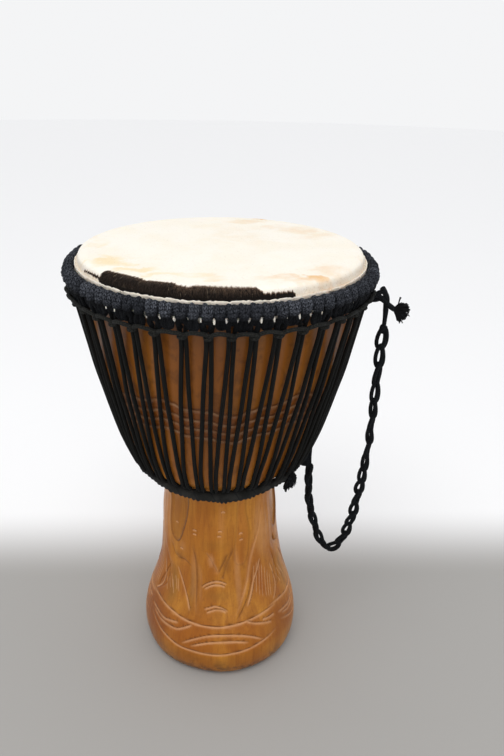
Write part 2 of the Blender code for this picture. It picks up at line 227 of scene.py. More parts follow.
class Paint(Nodes):
    """A material and short ways to add its nodes."""

    def __init__(self, name):
        self.material = bpy.data.materials.new(name)
        self.material.use_nodes = True
        self.tree = self.material.node_tree
        self.shader = self.tree.nodes["Principled BSDF"]

    def finish(self, values):
        """Sets or feeds the shader's own sockets."""
        for name, value in values.items():
            self.feed(self.shader.inputs[name], value)
        return self.material

    def place(self, scale=(1.0, 1.0, 1.0)):
        """Object coordinates, scaled."""
        source = self.node("ShaderNodeTexCoord").outputs["Object"]
        return self.node("ShaderNodeMapping", {"Vector": source, "Scale": scale}).outputs["Vector"]

    def rope_map(self):
        """A rope's own map: turns round it in X, metres along it in Y."""
        return self.split(self.node("ShaderNodeUVMap", uv_map="rope").outputs["UV"])

    def noise(self, vector, scale, detail=3.0, roughness=0.5, distortion=0.0):
        feeds = {
            "Vector": vector, "Scale": scale, "Detail": detail, "Roughness": roughness,
            "Distortion": distortion,
        }
        return self.node("ShaderNodeTexNoise", feeds).outputs["Fac"]

    def span(self, value, low, high, start=0.0, end=1.0, smooth=True):
        """Where a value goes from low to high, goes from start to end."""
        feeds = {"Value": value, "From Min": low, "From Max": high, "To Min": start, "To Max": end}
        kind = "SMOOTHSTEP" if smooth else "LINEAR"
        return self.node("ShaderNodeMapRange", feeds, interpolation_type=kind).outputs["Result"]

    def blend(self, amount, first, second, mode="MIX"):
        made = self.node("ShaderNodeMix", {0: amount}, data_type="RGBA", blend_type=mode)
        for number, colour in ((6, first), (7, second)):
            plain = not isinstance(colour, bpy.types.NodeSocket)
            self.feed(made.inputs[number], (*colour, 1.0) if plain else colour)
        return made.outputs[2]

    def attribute(self, name):
        made = self.node("ShaderNodeAttribute", attribute_type="GEOMETRY", attribute_name=name)
        return made.outputs["Fac"]

    def ramp(self, value, stops):
        """Brightness that changes from stop to stop: (value, brightness)."""
        low = stops[0][0]
        high = stops[-1][0]
        made = self.node("ShaderNodeValToRGB", {"Fac": self.span(value, low, high, smooth=False)})
        made.color_ramp.interpolation = "EASE"
        elements = made.color_ramp.elements
        for at, bright in stops[1:-1]:
            elements.new((at - low) / (high - low))
        for element, (at, bright) in zip(elements, stops):
            element.color = (bright, bright, bright, 1.0)
        return made.outputs["Color"]

    def bump(self, height, strength, distance, normal=None):
        feeds = {"Strength": strength, "Distance": distance, "Height": height, "Normal": normal}
        return self.node("ShaderNodeBump", feeds).outputs["Normal"]


# Painted shade on the varnished wood by height: the bowl is darker than the foot, darkest under the crown.
WOOD_SHADE_BY_HEIGHT = (
    (0.0, 0.9), (0.05, 0.97), (0.25, 1.0), (0.3, 0.88), (0.335, 0.74), (0.37, 0.64),
    (0.395, 0.53), (0.43, 0.51), (0.455, 0.58), (0.5, 0.55), (0.526, 0.47), (0.536, 0.26),
    (0.56, 0.16),
)
HONEY_DARK = (0.4, 0.138, 0.015)
HONEY_LIGHT = (0.535, 0.22, 0.028)
GRAIN_DARK = (0.29, 0.088, 0.01)
PORE_DARK = (0.2, 0.056, 0.008)
FLECK_DARK = (0.24, 0.085, 0.012)
RED_STAIN = (0.33, 0.078, 0.012)
OLIVE_STAIN = (0.16, 0.085, 0.018)
BOWL_WOOD = (0.435, 0.138, 0.022)
BOWL_BLOTCH = (0.13, 0.042, 0.012)
FOOT_DIRT = (0.07, 0.035, 0.016)
# Pale raw wood in the cuts, also used as painted highlight along edges, beads and facets.
RAW_WOOD_AND_HIGHLIGHT = (0.64, 0.33, 0.155)
CUT_SHADOW = (0.075, 0.023, 0.007)


def wood_material():
    """Honey-coloured varnished wood: grain, stains, a blotched bowl darkened by painted shade, dirt low
    on the foot, pale raw wood and painted highlights in the cuts and on edges, painted shade beside them."""
    paint = Paint("varnished_wood")
    grain_place = paint.place((1.0, 1.0, 0.055))
    cloud_place = paint.place((1.0, 1.0, 0.28))
    broad = paint.noise(cloud_place, 17.0, 3.0, 0.55, 0.5)
    streaks = paint.noise(grain_place, 70.0, 5.0, 0.62, 0.6)
    fine = paint.noise(grain_place, 420.0, 4.0, 0.6, 0.2)
    mottle = paint.noise(paint.place((1.0, 1.0, 1.6)), 150.0, 3.0, 0.6, 0.3)
    honey = paint.blend(paint.span(broad, 0.36, 0.62), HONEY_DARK, HONEY_LIGHT)
    grained = paint.blend(paint.span(streaks, 0.36, 0.66, 0.0, 0.55), honey, GRAIN_DARK)
    pored = paint.blend(paint.span(fine, 0.5, 0.74, 0.0, 0.38), grained, PORE_DARK)
    flecked = paint.blend(paint.span(mottle, 0.45, 0.75, 0.0, 0.2), pored, FLECK_DARK)
    # Redder where the carver's panels were stained, greyer green in the hollows.
    tone = paint.attribute("tone")
    red = paint.blend(paint.sums("MULTIPLY", tone, 0.55, clamp=True), flecked, RED_STAIN)
    olive = paint.sums("MULTIPLY", tone, -0.55, clamp=True)
    stained = paint.blend(olive, red, OLIVE_STAIN)
    height = paint.split(paint.place())["Z"]
    # Painted shade by height, multiplied into the wood's colour.
    shade = paint.ramp(height, WOOD_SHADE_BY_HEIGHT)
    # The bowl's wood is plainer, with dark blotches.
    blotch = paint.noise(paint.place((1.0, 1.0, 0.8)), 62.0, 4.0, 0.6, 0.4)
    in_bowl = paint.span(height, 0.3, 0.33)
    evened = paint.blend(paint.sums("MULTIPLY", in_bowl, 0.55), stained, BOWL_WOOD)
    blotched = paint.sums("MULTIPLY", in_bowl, paint.span(blotch, 0.48, 0.7, 0.0, 0.5))
    toned = paint.blend(1.0, paint.blend(blotched, evened, BOWL_BLOTCH), shade, "MULTIPLY")
    dirt_noise = paint.noise(paint.place(), 60.0, 4.0, 0.65)
    low_down = paint.span(height, 0.04, 0.0)
    dirt = paint.sums("MULTIPLY", low_down, paint.span(dirt_noise, 0.44, 0.64, 0.1, 0.9))
    soiled = paint.blend(dirt, toned, FOOT_DIRT)
    worn_and_lit = paint.span(dirt_noise, 0.28, 0.6, 0.55, 0.95)
    # Pale raw wood in the gouges and painted highlights on pared edges, beads, facets and waves, broken up
    # by wear.
    cut = paint.sums("MULTIPLY", paint.attribute("cut"), worn_and_lit)
    carved = paint.blend(cut, soiled, paint.blend(1.0, RAW_WOOD_AND_HIGHLIGHT, shade, "MULTIPLY"))
    # Painted shade beside the cuts, pared edges and panels, and the wave band's darker stain.
    shade_and_stain_line = paint.sums("MULTIPLY", paint.attribute("line"), 0.72, clamp=True)
    gloss = paint.span(fine, 0.3, 0.8, 0.3, 0.46)
    grain_bump = paint.bump(streaks, 0.35, 0.001)
    return paint.finish({
        "Base Color": paint.blend(shade_and_stain_line, carved, CUT_SHADOW),
        "Roughness": paint.sums("ADD", gloss, paint.sums("MULTIPLY", cut, 0.18)),
        "Specular IOR Level": 0.22, "Coat Weight": 0.07, "Coat Roughness": 0.18,
        "Normal": paint.bump(fine, 0.3, 0.0004, grain_bump),
    })


ROPE_SHEEN = (0.62, 0.7, 0.82, 1.0)
# Each black rope between its braid's ridges and on its ridges, which are lighter from
# wear and from a painted highlight.
CROWN_TONES = ((0.0035, 0.004, 0.006), (0.19, 0.205, 0.245))
WEAVE_TONES = ((0.008, 0.008, 0.007), (0.046, 0.046, 0.04))
LACING_TONES = ((0.0036, 0.0034, 0.0028), (0.017, 0.016, 0.013))
STRAP_TONES = ((0.003, 0.0034, 0.004), (0.02, 0.022, 0.026))
CLOTH_SHEEN = (0.6, 0.72, 0.85, 1.0)
CLOTH_DARK = (0.009, 0.009, 0.008)
CLOTH_LIGHT = (0.023, 0.022, 0.02)
# Painted shade along each lap's edge.
CLOTH_LAP_EDGE_SHADE = (0.006, 0.006, 0.007)
# Painted shade under the ring.
CLOTH_UNDERSIDE_SHADE = (0.004, 0.003, 0.002)
# The binding: length of a lap, threads across and length of a thread along the ring.
LAP_LENGTH = 0.021
THREADS_ACROSS = 52.0
THREAD_LENGTH = 0.0011


def rope_material(name, tones, pitch, columns=8.0, shade=None, tinted=False):
    """Braided rope: chevrons run along it in columns, each pitch metres long. shade is
    (low, high, brightness at low, brightness at high) by height."""
    paint = Paint(name)
    parts = paint.rope_map()
    column = paint.sums("PINGPONG", paint.sums("MULTIPLY", parts["X"], columns), 1.0)
    steps = paint.sums("DIVIDE", parts["Y"], pitch)
    phase = paint.sums("ADD", steps, paint.sums("MULTIPLY", column, 0.8))
    wave = paint.sums("ABSOLUTE", paint.sums("SINE", paint.sums("MULTIPLY", phase, math.pi)))
    off_middle = paint.sums("ABSOLUTE", paint.sums("MULTIPLY_ADD", column, 2.0, -1.0))
    edge = paint.sums("SUBTRACT", 1.0, off_middle)
    ridge = paint.sums("MULTIPLY", paint.sums("POWER", wave, 0.6), paint.span(edge, 0.0, 0.45, 0.35, 1.0))
    fuzz = paint.noise(paint.place(), 900.0, 3.0, 0.7)
    wear = paint.noise(paint.place(), 45.0, 3.0, 0.6)
    # The braid's ridges are lightened by wear and by a painted highlight.
    lit = paint.sums("MULTIPLY", paint.span(ridge, 0.3, 0.92), paint.span(fuzz, 0.4, 0.64, 0.25, 1.0))
    worn_and_lit = paint.sums("MULTIPLY", lit, paint.span(wear, 0.3, 0.7, 0.6, 1.0))
    if tinted:
        worn_and_lit = paint.sums("MULTIPLY", worn_and_lit, paint.span(paint.attribute("tint"), 0.0, 1.0, 0.35, 1.15, False))
    colour = paint.blend(worn_and_lit, *tones)
    if shade:
        bright = paint.span(paint.split(paint.place())["Z"], *shade)
        grey = paint.node("ShaderNodeCombineColor", {0: bright, 1: bright, 2: bright})
        colour = paint.blend(1.0, colour, grey.outputs["Color"], "MULTIPLY")
    coarse = paint.bump(ridge, 0.85, 0.0011)
    return paint.finish({
        "Base Color": colour, "Roughness": 0.82, "Specular IOR Level": 0.09,
        "Sheen Weight": 0.03, "Sheen Roughness": 0.45, "Sheen Tint": ROPE_SHEEN,
        "Normal": paint.bump(fuzz, 0.55, 0.0005, coarse),
    })


def binding_material():
    """Black cloth tape wound round the ring: fine weave and slanting laps, with painted
    shade along each lap's edge and along the ring's underside.
    """
    paint = Paint("black_cloth_binding")
    parts = paint.rope_map()
    slant = paint.sums("ADD", paint.sums("DIVIDE", parts["Y"], LAP_LENGTH), parts["X"])
    lap_edge = paint.span(paint.sums("FRACT", slant), 0.0, 0.1)
    turned = paint.sums("MULTIPLY", parts["X"], 2.0 * math.pi * THREADS_ACROSS)
    run = paint.sums("MULTIPLY", parts["Y"], 2.0 * math.pi / THREAD_LENGTH)
    weave = paint.sums("MULTIPLY", paint.sums("SINE", turned), paint.sums("SINE", run))
    cloud = paint.noise(paint.place(), 60.0, 4.0, 0.6)
    base = paint.blend(paint.span(cloud, 0.35, 0.7), CLOTH_DARK, CLOTH_LIGHT)
    # Painted shade along the ring's underside.
    under = paint.span(paint.split(paint.place())["Z"], 0.2825, 0.288, 0.25, 1.0)
    # Painted shade along each lap's edge, where one turn lies over the next.
    lapped = paint.blend(lap_edge, CLOTH_LAP_EDGE_SHADE, base)
    laps = paint.bump(lap_edge, 0.5, 0.0007)
    return paint.finish({
        "Base Color": paint.blend(under, CLOTH_UNDERSIDE_SHADE, lapped), "Roughness": 0.82,
        "Specular IOR Level": 0.12, "Sheen Weight": 0.05, "Sheen Tint": CLOTH_SHEEN,
        "Normal": paint.bump(weave, 0.3, 0.0003, laps),
    })


# Soft stains of the skin on the playing side: (x, y), reach in metres, strength.
SKIN_STAINS = (
    ((-0.132, -0.066), (0.034, 0.02), 0.5), ((-0.098, -0.1), (0.036, 0.014), 0.46),
    ((-0.06, -0.128), (0.044, 0.01), 0.34), ((-0.024, -0.128), (0.034, 0.016), 0.36),
    ((0.102, -0.132), (0.03, 0.014), 0.85), ((0.084, -0.14), (0.05, 0.02), 0.36),
    ((0.121, -0.101), (0.03, 0.026), 0.34), ((0.025, 0.138), (0.04, 0.02), 0.34),
    ((0.047, 0.157), (0.01, 0.007), 1.0), ((0.09, 0.098), (0.034, 0.03), 0.32),
    ((0.122, 0.056), (0.04, 0.03), 0.22), ((0.026, 0.06), (0.075, 0.06), 0.1),
    ((-0.086, -0.066), (0.018, 0.008), 0.14), ((-0.158, 0.02), (0.016, 0.05), 0.24),
    ((0.157, -0.07), (0.016, 0.06), 0.22),
)
SKIN_CREAM = ((0.905, 0.855, 0.765), (0.89, 0.825, 0.71))
# The stains are yellower at -X, redder at +X.
STAIN_COLOURS = ((0.84, 0.61, 0.24), (0.78, 0.48, 0.22))
SKIN_DULL = (0.68, 0.59, 0.49)
SKIN_SPECK = (0.33, 0.2, 0.1)
SKIN_FLECK = (0.56, 0.38, 0.2)
HAIR_STUBBLE = (0.12, 0.066, 0.038)
HAIR_ROOT = (0.006, 0.004, 0.003)
HAIR_BLACK = ((0.004, 0.003, 0.0025), (0.048, 0.031, 0.022))
HAIR_BROWN = (0.2, 0.125, 0.078)
HAIR_PALE = (0.33, 0.26, 0.18)
FIBRE_COLOURS = ((0.006, 0.006, 0.007), (0.035, 0.038, 0.045))


def skin_material():
    """Cream goatskin with soft brown stains, flecks, and dark roots where hair is left."""
    paint = Paint("shaved_goatskin")
    place = paint.place()
    cloud = paint.noise(place, 22.0, 4.0, 0.55, 0.5)
    speck = paint.noise(place, 520.0, 3.0, 0.6)
    warp = paint.sums("MULTIPLY_ADD", paint.noise(place, 20.0, 4.0, 0.6), 0.11, -0.055)
    pore = paint.noise(place, 1400.0, 2.0, 0.6)
    parts = paint.split(place)
    across = paint.sums("ADD", parts["X"], warp)
    along = paint.sums("SUBTRACT", parts["Y"], warp)
    stain = None
    for (x, y), (wide, deep), strength in SKIN_STAINS:
        off_x = paint.sums("DIVIDE", paint.sums("SUBTRACT", across, x), wide)
        off_y = paint.sums("DIVIDE", paint.sums("SUBTRACT", along, y), deep)
        square = paint.sums("MULTIPLY", off_x, off_x)
        square = paint.sums("ADD", square, paint.sums("MULTIPLY", off_y, off_y))
        soft = paint.sums("MULTIPLY", paint.span(square, 1.0, 0.0), strength)
        stain = soft if stain is None else paint.sums("MAXIMUM", stain, soft)
    blotch = paint.sums("MULTIPLY", stain, paint.span(cloud, 0.36, 0.6, 0.25, 1.1))
    cream = paint.blend(paint.span(cloud, 0.35, 0.7), *SKIN_CREAM)
    warm = paint.blend(paint.span(parts["X"], -0.06, 0.06), *STAIN_COLOURS)
    stained = paint.blend(blotch, cream, warm)
    # The side below the rim and the trimmed edge are duller, with brown specks.
    side = paint.attribute("side")
    over_crown = paint.sums("MULTIPLY", side, paint.span(parts["Z"], 0.555, 0.562, 0.0, 0.42))
    dull = paint.blend(over_crown, stained, SKIN_DULL)
    rough = paint.sums("MULTIPLY", side, paint.span(speck, 0.5, 0.7, 0.0, 0.18))
    edged = paint.blend(rough, dull, SKIN_SPECK)
    flecked = paint.blend(paint.span(speck, 0.64, 0.8, 0.0, 0.09), edged, SKIN_FLECK)
    haired = paint.attribute("hair")
    roots = paint.sums("ADD", haired, paint.sums("MULTIPLY_ADD", speck, 0.8, -0.4))
    shaved = paint.blend(paint.span(roots, 0.02, 0.62), flecked, HAIR_STUBBLE)
    wrinkle = paint.bump(cloud, 0.25, 0.002)
    return paint.finish({
        "Base Color": paint.blend(paint.span(roots, 0.42, 0.92), shaved, HAIR_ROOT),
        "Roughness": paint.sums("MULTIPLY_ADD", haired, 0.35, 0.55), "Specular IOR Level": 0.2,
        "Subsurface Weight": 0.1, "Subsurface Radius": (0.004, 0.0025, 0.0015), "Subsurface Scale": 1.0,
        "Normal": paint.bump(pore, 0.18, 0.0003, wrinkle),
    })


def hair_material():
    """Black hair, brown along the shaved upper edge, with a few pale hairs."""
    paint = Paint("goat_hair")
    strand = paint.attribute("tint")
    dark = paint.blend(strand, *HAIR_BLACK)
    fringe = paint.sums("MULTIPLY", paint.attribute("fringe"), paint.span(strand, 0.1, 0.9, 0.45, 1.0))
    brown = paint.blend(fringe, dark, HAIR_BROWN)
    pale = paint.blend(paint.span(strand, 0.995, 0.997), brown, HAIR_PALE)
    return paint.finish({"Base Color": pale, "Roughness": 0.55, "Specular IOR Level": 0.2})


def fibre_material():
    """Frayed yarns, each a little lighter or darker."""
    paint = Paint("frayed_rope_fibre")
    colour = paint.blend(paint.attribute("tint"), *FIBRE_COLOURS)
    return paint.finish({"Base Color": colour, "Roughness": 0.7, "Specular IOR Level": 0.1})


class Tree(Nodes):
    """A geometry node tree and short ways to add its nodes."""

    def __init__(self, name, inputs):
        self.tree = bpy.data.node_groups.new(name, "GeometryNodeTree")
        new_socket = self.tree.interface.new_socket
        for label, kind in (("Geometry", "Geometry"), *inputs):
            new_socket(label, in_out="INPUT", socket_type="NodeSocket" + kind)
        new_socket("Geometry", in_out="OUTPUT", socket_type="NodeSocketGeometry")
        self.start = self.tree.nodes.new("NodeGroupInput").outputs
        self.end = self.tree.nodes.new("NodeGroupOutput").inputs

    def vectors(self, operation, first, second):
        made = self.node("ShaderNodeVectorMath", {0: first, 1: second}, operation=operation)
        return made.outputs["Vector"]

    def scaled(self, vector, size):
        made = self.node("ShaderNodeVectorMath", {0: vector, "Scale": size}, operation="SCALE")
        return made.outputs["Vector"]

    def turns(self, angles):
        return self.node("FunctionNodeEulerToRotation", {"Euler": angles}).outputs["Rotation"]

    def turned(self, rotation, further):
        """A rotation, and a further one in its own frame."""
        feeds = {"Rotation": rotation, "Rotate By": further}
        made = self.node("FunctionNodeRotateRotation", feeds, rotation_space="LOCAL")
        return made.outputs["Rotation"]

    def curve(self, mesh):
        return self.node("GeometryNodeMeshToCurve", {"Mesh": mesh}).outputs["Curve"]

    def copies(self, points, instance, rotation, size):
        feeds = {"Points": points, "Instance": instance, "Rotation": rotation, "Scale": size}
        return self.node("GeometryNodeInstanceOnPoints", feeds).outputs["Instances"]

    def tint_each(self, copies):
        """Gives every copy a random tint of its own."""
        return self.store(copies, "tint", self.random(0.0, 1.0), domain="INSTANCE")

    def jitter(self, name):
        """A random vector, up to the named input either way."""
        low = self.sums("MULTIPLY", self.start[name], -1.0)
        return self.random(low, self.start[name], "FLOAT_VECTOR")

    def store(self, geometry, name, value, kind="FLOAT", domain="POINT"):
        feeds = {"Geometry": geometry, "Name": name, "Value": value}
        made = self.node("GeometryNodeStoreNamedAttribute", feeds, data_type=kind, domain=domain)
        return made.outputs["Geometry"]

    def named(self, name, kind="FLOAT"):
        made = self.node("GeometryNodeInputNamedAttribute", {"Name": name}, data_type=kind)
        return made.outputs["Attribute"]

    def part(self, number):
        """The lines or points of the source mesh that are marked with this number."""
        feeds = {"A": self.named("part"), "B": float(number)}
        same = self.node("FunctionNodeCompare", feeds, data_type="FLOAT", operation="EQUAL")
        feeds = {"Geometry": self.start["Geometry"], "Selection": same.outputs["Result"]}
        taken = self.node("GeometryNodeSeparateGeometry", feeds, domain="POINT")
        return taken.outputs["Selection"]

    def random(self, low, high, kind="FLOAT"):
        pick, out = {"FLOAT": (2, 1), "FLOAT_VECTOR": (0, 0)}[kind]
        feeds = {pick: low, pick + 1: high, "Seed": self.start["Seed"]}
        return self.node("FunctionNodeRandomValue", feeds, data_type=kind).outputs[out]

    def rope(self, curve):
        """Sweeps a round rope along curves and notes the places along and round it."""
        length = self.node("GeometryNodeSplineParameter").outputs["Length"]
        measured = self.store(curve, "along", length)
        size = {"Resolution": self.start["Sides"], "Radius": self.start["Rope Radius"]}
        circle = self.node("GeometryNodeCurvePrimitiveCircle", size, mode="RADIUS")
        turn = self.node("GeometryNodeSplineParameter").outputs["Factor"]
        profile = self.store(circle.outputs["Curve"], "round", turn)
        return self.sweep(measured, profile, self.named("thick"))

    def sweep(self, curve, profile, size):
        feeds = {"Curve": curve, "Profile Curve": profile, "Scale": size, "Fill Caps": True}
        return self.node("GeometryNodeCurveToMesh", feeds).outputs["Mesh"]

    def finish(self, geometry, material):
        smooth = self.node("GeometryNodeSetShadeSmooth", {"Geometry": geometry})
        realized = self.node("GeometryNodeRealizeInstances", {"Geometry": smooth.outputs["Geometry"]})
        feeds = {"Geometry": realized.outputs["Geometry"], "Material": material}
        painted = self.node("GeometryNodeSetMaterial", feeds)
        self.feed(self.end["Geometry"], painted.outputs["Geometry"])
        return self.tree


def rope_tree():
    """Lays a rope along every line of edges in the mesh."""
    made = Tree(
        "rope_along_lines",
        (("Rope Radius", "Float"), ("Sides", "Int"), ("Spacing", "Float"), ("Rope Material", "Material")),
    )
    feeds = {"Curve": made.curve(made.start["Geometry"]), "Length": made.start["Spacing"]}
    even = made.node("GeometryNodeResampleCurve", feeds, mode="LENGTH")
    return made.finish(made.rope(even.outputs["Curve"]), made.start["Rope Material"])


def hitch_tree():
    """Ties the same rope hitch at every place, each a little differently turned and sized."""
    made = Tree(
        "hitches_round_ring",
        (
            ("Rope Radius", "Float"), ("Sides", "Int"), ("Turn Jitter", "Float"),
            ("Size Jitter", "Float"), ("Seed", "Int"), ("Rope Material", "Material"),
        ),
    )
    rope = made.rope(made.curve(made.part(PATTERN_PART)))
    facing = made.turns(made.named("facing", "FLOAT_VECTOR"))
    both = made.turned(facing, made.turns(made.jitter("Turn Jitter")))
    small = made.sums("SUBTRACT", 1.0, made.start["Size Jitter"])
    large = made.sums("ADD", 1.0, made.start["Size Jitter"])
    vary = made.random(small, large, "FLOAT_VECTOR")
    size = made.vectors("MULTIPLY", vary, made.named("size", "FLOAT_VECTOR"))
    copies = made.copies(made.part(PLACE_PART), rope, both, size)
    return made.finish(made.tint_each(copies), made.start["Rope Material"])


def link_tree():
    """Sets loops of rope one into the next up a line, each with its own turn and size,
    then bends the line of loops along the route."""
    made = Tree(
        "links_along_route",
        (("Rope Radius", "Float"), ("Sides", "Int"), ("Rope Material", "Material")),
    )
    loop = made.curve(made.part(PATTERN_PART))
    facing = made.turns(made.named("facing", "FLOAT_VECTOR"))
    copies = made.copies(made.part(PLACE_PART), loop, facing, made.named("size", "FLOAT_VECTOR"))
    loose = made.node("GeometryNodeRealizeInstances", {"Geometry": copies})
    place = made.node("GeometryNodeInputPosition").outputs["Position"]
    # Of each point in the straight line of loops, Z is how far it goes along the route.
    parts = made.split(place)
    feeds = {"Curves": made.curve(made.part(ROUTE_PART)), "Length": parts["Z"]}
    sample = made.node("GeometryNodeSampleCurve", feeds, mode="LENGTH").outputs
    beside = made.vectors("CROSS_PRODUCT", sample["Tangent"], sample["Normal"])
    across = made.scaled(sample["Normal"], parts["X"])
    aside = made.vectors("ADD", across, made.scaled(beside, parts["Y"]))
    spot = made.vectors("ADD", sample["Position"], aside)
    feeds = {"Geometry": loose.outputs["Geometry"], "Position": spot}
    bent = made.node("GeometryNodeSetPosition", feeds)
    return made.finish(made.rope(bent.outputs["Geometry"]), made.start["Rope Material"])


def strand_tree():
    """Grows thin tapering strands all over a patch, laid the way the patch says."""
    made = Tree(
        "strands_on_patch",
        (
            ("Density", "Float"), ("Strand Length", "Float"), ("Strand Radius", "Float"),
            ("Curl", "Float"), ("Spread", "Float"), ("Seed", "Int"), ("Strand Material", "Material"),
        ),
    )
    feeds = {"Mesh": made.start["Geometry"], "Density": made.start["Density"], "Seed": made.start["Seed"]}
    points = made.node("GeometryNodeDistributePointsOnFaces", feeds)
    bend = made.node("ShaderNodeCombineXYZ", {"X": made.start["Curl"], "Z": 0.5}).outputs["Vector"]
    feeds = {"Resolution": 4, "Start": (0.0, 0.0, 0.0), "Middle": bend, "End": (0.0, 0.0, 1.0)}
    arc = made.node("GeometryNodeCurveQuadraticBezier", feeds)
    slim = made.sums("DIVIDE", made.start["Strand Radius"], made.start["Strand Length"])
    profile = made.node("GeometryNodeCurvePrimitiveCircle", {"Resolution": 3, "Radius": slim}, mode="RADIUS")
    part = made.node("GeometryNodeSplineParameter").outputs["Factor"]
    taper = made.sums("SUBTRACT", 1.05, made.sums("POWER", part, 1.6))
    strand = made.sweep(arc.outputs["Curve"], profile.outputs["Curve"], taper)
    toward = made.vectors("ADD", made.named("lay", "FLOAT_VECTOR"), made.jitter("Spread"))
    facing = made.node("FunctionNodeAlignRotationToVector", {"Vector": toward}, axis="Z")
    spin = made.node("ShaderNodeCombineXYZ", {"Z": made.random(0.0, 2.0 * math.pi)})
    spun = made.turned(facing.outputs["Rotation"], made.turns(spin.outputs["Vector"]))
    long = made.sums("MULTIPLY", made.random(0.62, 1.0), made.start["Strand Length"])
    size = made.sums("MULTIPLY", long, made.named("reach"))
    copies = made.copies(points.outputs["Points"], strand, spun, size)
    return made.finish(made.tint_each(copies), made.start["Strand Material"])


def add_piece(name, mesh, replaces=()):
    """Puts a finished mesh in the scene, riding on the drum."""
    piece = bpy.data.objects.new(name, mesh)
    bpy.context.scene.collection.objects.link(piece)
    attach(piece, "root")
    if replaces:
        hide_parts(*replaces)
    return piece


def grow(name, tree, source, inputs):
    """Runs a geometry node tree on a mesh and returns the outcome as a plain mesh."""
    holder = bpy.data.objects.new(name, source)
    bpy.context.scene.collection.objects.link(holder)
    modifier = holder.modifiers.new(name, "NODES")
    modifier.node_group = tree
    for item in tree.interface.items_tree:
        if item.item_type == "SOCKET" and item.in_out == "INPUT" and item.name in inputs:
            modifier[item.identifier] = inputs[item.name]
    graph = bpy.context.evaluated_depsgraph_get()
    made = bpy.data.meshes.new_from_object(holder.evaluated_get(graph))
    made.name = name
    holder.modifiers.clear()
    bpy.data.objects.remove(holder)
    bpy.data.meshes.remove(source)
    return made


def read_values(items, field, kind=np.int32):
    """One number of every item."""
    values = np.empty(len(items), kind)
    items.foreach_get(field, values)
    return values


def lay_rope_map(mesh, spacing):
    """Gives a rope its map: turns round it across, metres along it up."""
    turn = read_values(mesh.attributes["round"].data, "value", np.float32)
    along = read_values(mesh.attributes["along"].data, "value", np.float32)
    corners = read_values(mesh.loops, "vertex_index")
    starts = read_values(mesh.polygons, "loop_start")
    totals = read_values(mesh.polygons, "loop_total")
    across = turn[corners]
    up = along[corners]
    highest = np.repeat(np.maximum.reduceat(across, starts), totals)
    across[highest - across > 0.5] += 1.0
    furthest = np.repeat(np.maximum.reduceat(up, starts), totals)
    wrapped = furthest - up > 5.0 * spacing
    up[wrapped] = furthest[wrapped] + spacing
    layer = mesh.uv_layers.new(name="rope")
    layer.data.foreach_set("uv", np.stack([across, up], axis=1).ravel())
    for name in ("round", "along"):
        mesh.attributes.remove(mesh.attributes[name])


def store_values(mesh, name, values):
    """Keeps a number or a vector for every vertex of a mesh."""
    values = np.array(values, np.float32)
    kind, field = ("FLOAT", "value") if values.ndim == 1 else ("FLOAT_VECTOR", "vector")
    mesh.attributes.new(name, kind, "POINT").data.foreach_set(field, values.ravel())


def chain(start, count, closed=False):
    """The edges that join points in a row."""
    edges = [(start + index, start + index + 1) for index in range(count - 1)]
    if closed:
        edges.append((start + count - 1, start))
    return edges


def line_mesh(name, lines, closed=False):
    """A mesh of bare edges from lists of points, each with its thickness beside it."""
    points = []
    edges = []
    for line in lines:
        edges += chain(len(points), len(line), closed)
        points += [tuple(spot) for spot, size in line]
    mesh = bpy.data.meshes.new(name)
    mesh.from_pydata(points, edges, [])
    store_values(mesh, "thick", [size for line in lines for spot, size in line])
    return mesh


# The marks of what a point of a source mesh belongs to.
PATTERN_PART = 0
ROUTE_PART = 1
PLACE_PART = 2


def pattern_mesh(name, loops, places, route=()):
    """A source mesh for a pattern: the lines that repeat, the places they go to, and the
    route they follow. A loop is (points, thickness, closed), a place (spot, turns, size)."""
    points = []
    edges = []
    thick = []
    for line, size, closed in loops:
        edges += chain(len(points), len(line), closed)
        points += [tuple(spot) for spot in line]
        thick += [size] * len(line)
    edges += chain(len(points), len(route))
    part = [PATTERN_PART] * len(points) + [ROUTE_PART] * len(route) + [PLACE_PART] * len(places)
    plain = len(points) + len(route)
    points += [tuple(spot) for spot in route]
    points += [tuple(spot) for spot, turns, size in places]
    mesh = bpy.data.meshes.new(name)
    mesh.from_pydata(points, edges, [])
    store_values(mesh, "part", part)
    store_values(mesh, "thick", thick + [1.0] * (len(points) - len(thick)))
    store_values(mesh, "facing", [(0.0, 0.0, 0.0)] * plain + [turns for spot, turns, size in places])
    store_values(mesh, "size", [(1.0, 1.0, 1.0)] * plain + [size for spot, turns, size in places])
    return mesh


def ropes(name, lines, radius, material, sides=8, spacing=0.003, closed=False):
    """Ropes along lines of (point, thickness)."""
    inputs = {"Rope Radius": radius, "Sides": sides, "Spacing": spacing, "Rope Material": material}
    made = grow(name, ROPE_TREE, line_mesh(name, lines, closed), inputs)
    lay_rope_map(made, spacing)
    return made


def strands(name, patch, material, seed, density, length, radius, curl, spread):
    """Fine strands all over a patch."""
    inputs = {
        "Density": density, "Strand Length": length, "Strand Radius": radius, "Curl": curl,
        "Spread": spread, "Seed": seed, "Strand Material": material,
    }
    return grow(name, STRAND_TREE, patch, inputs)


def join_meshes(name, meshes):
    """One mesh from several, with their maps and materials kept."""
    holders = []
    for mesh in meshes:
        holder = bpy.data.objects.new(mesh.name, mesh)
        bpy.context.scene.collection.objects.link(holder)
        holders.append(holder)
    with bpy.context.temp_override(active_object=holders[0], selected_editable_objects=holders):
        bpy.ops.object.join()
    made = holders[0].data
    made.name = name
    bpy.data.objects.remove(holders[0])
    return made


def polar(degrees, radius, height):
    turn = math.radians(degrees)
    return Vector((radius * math.sin(turn), -radius * math.cos(turn), height))


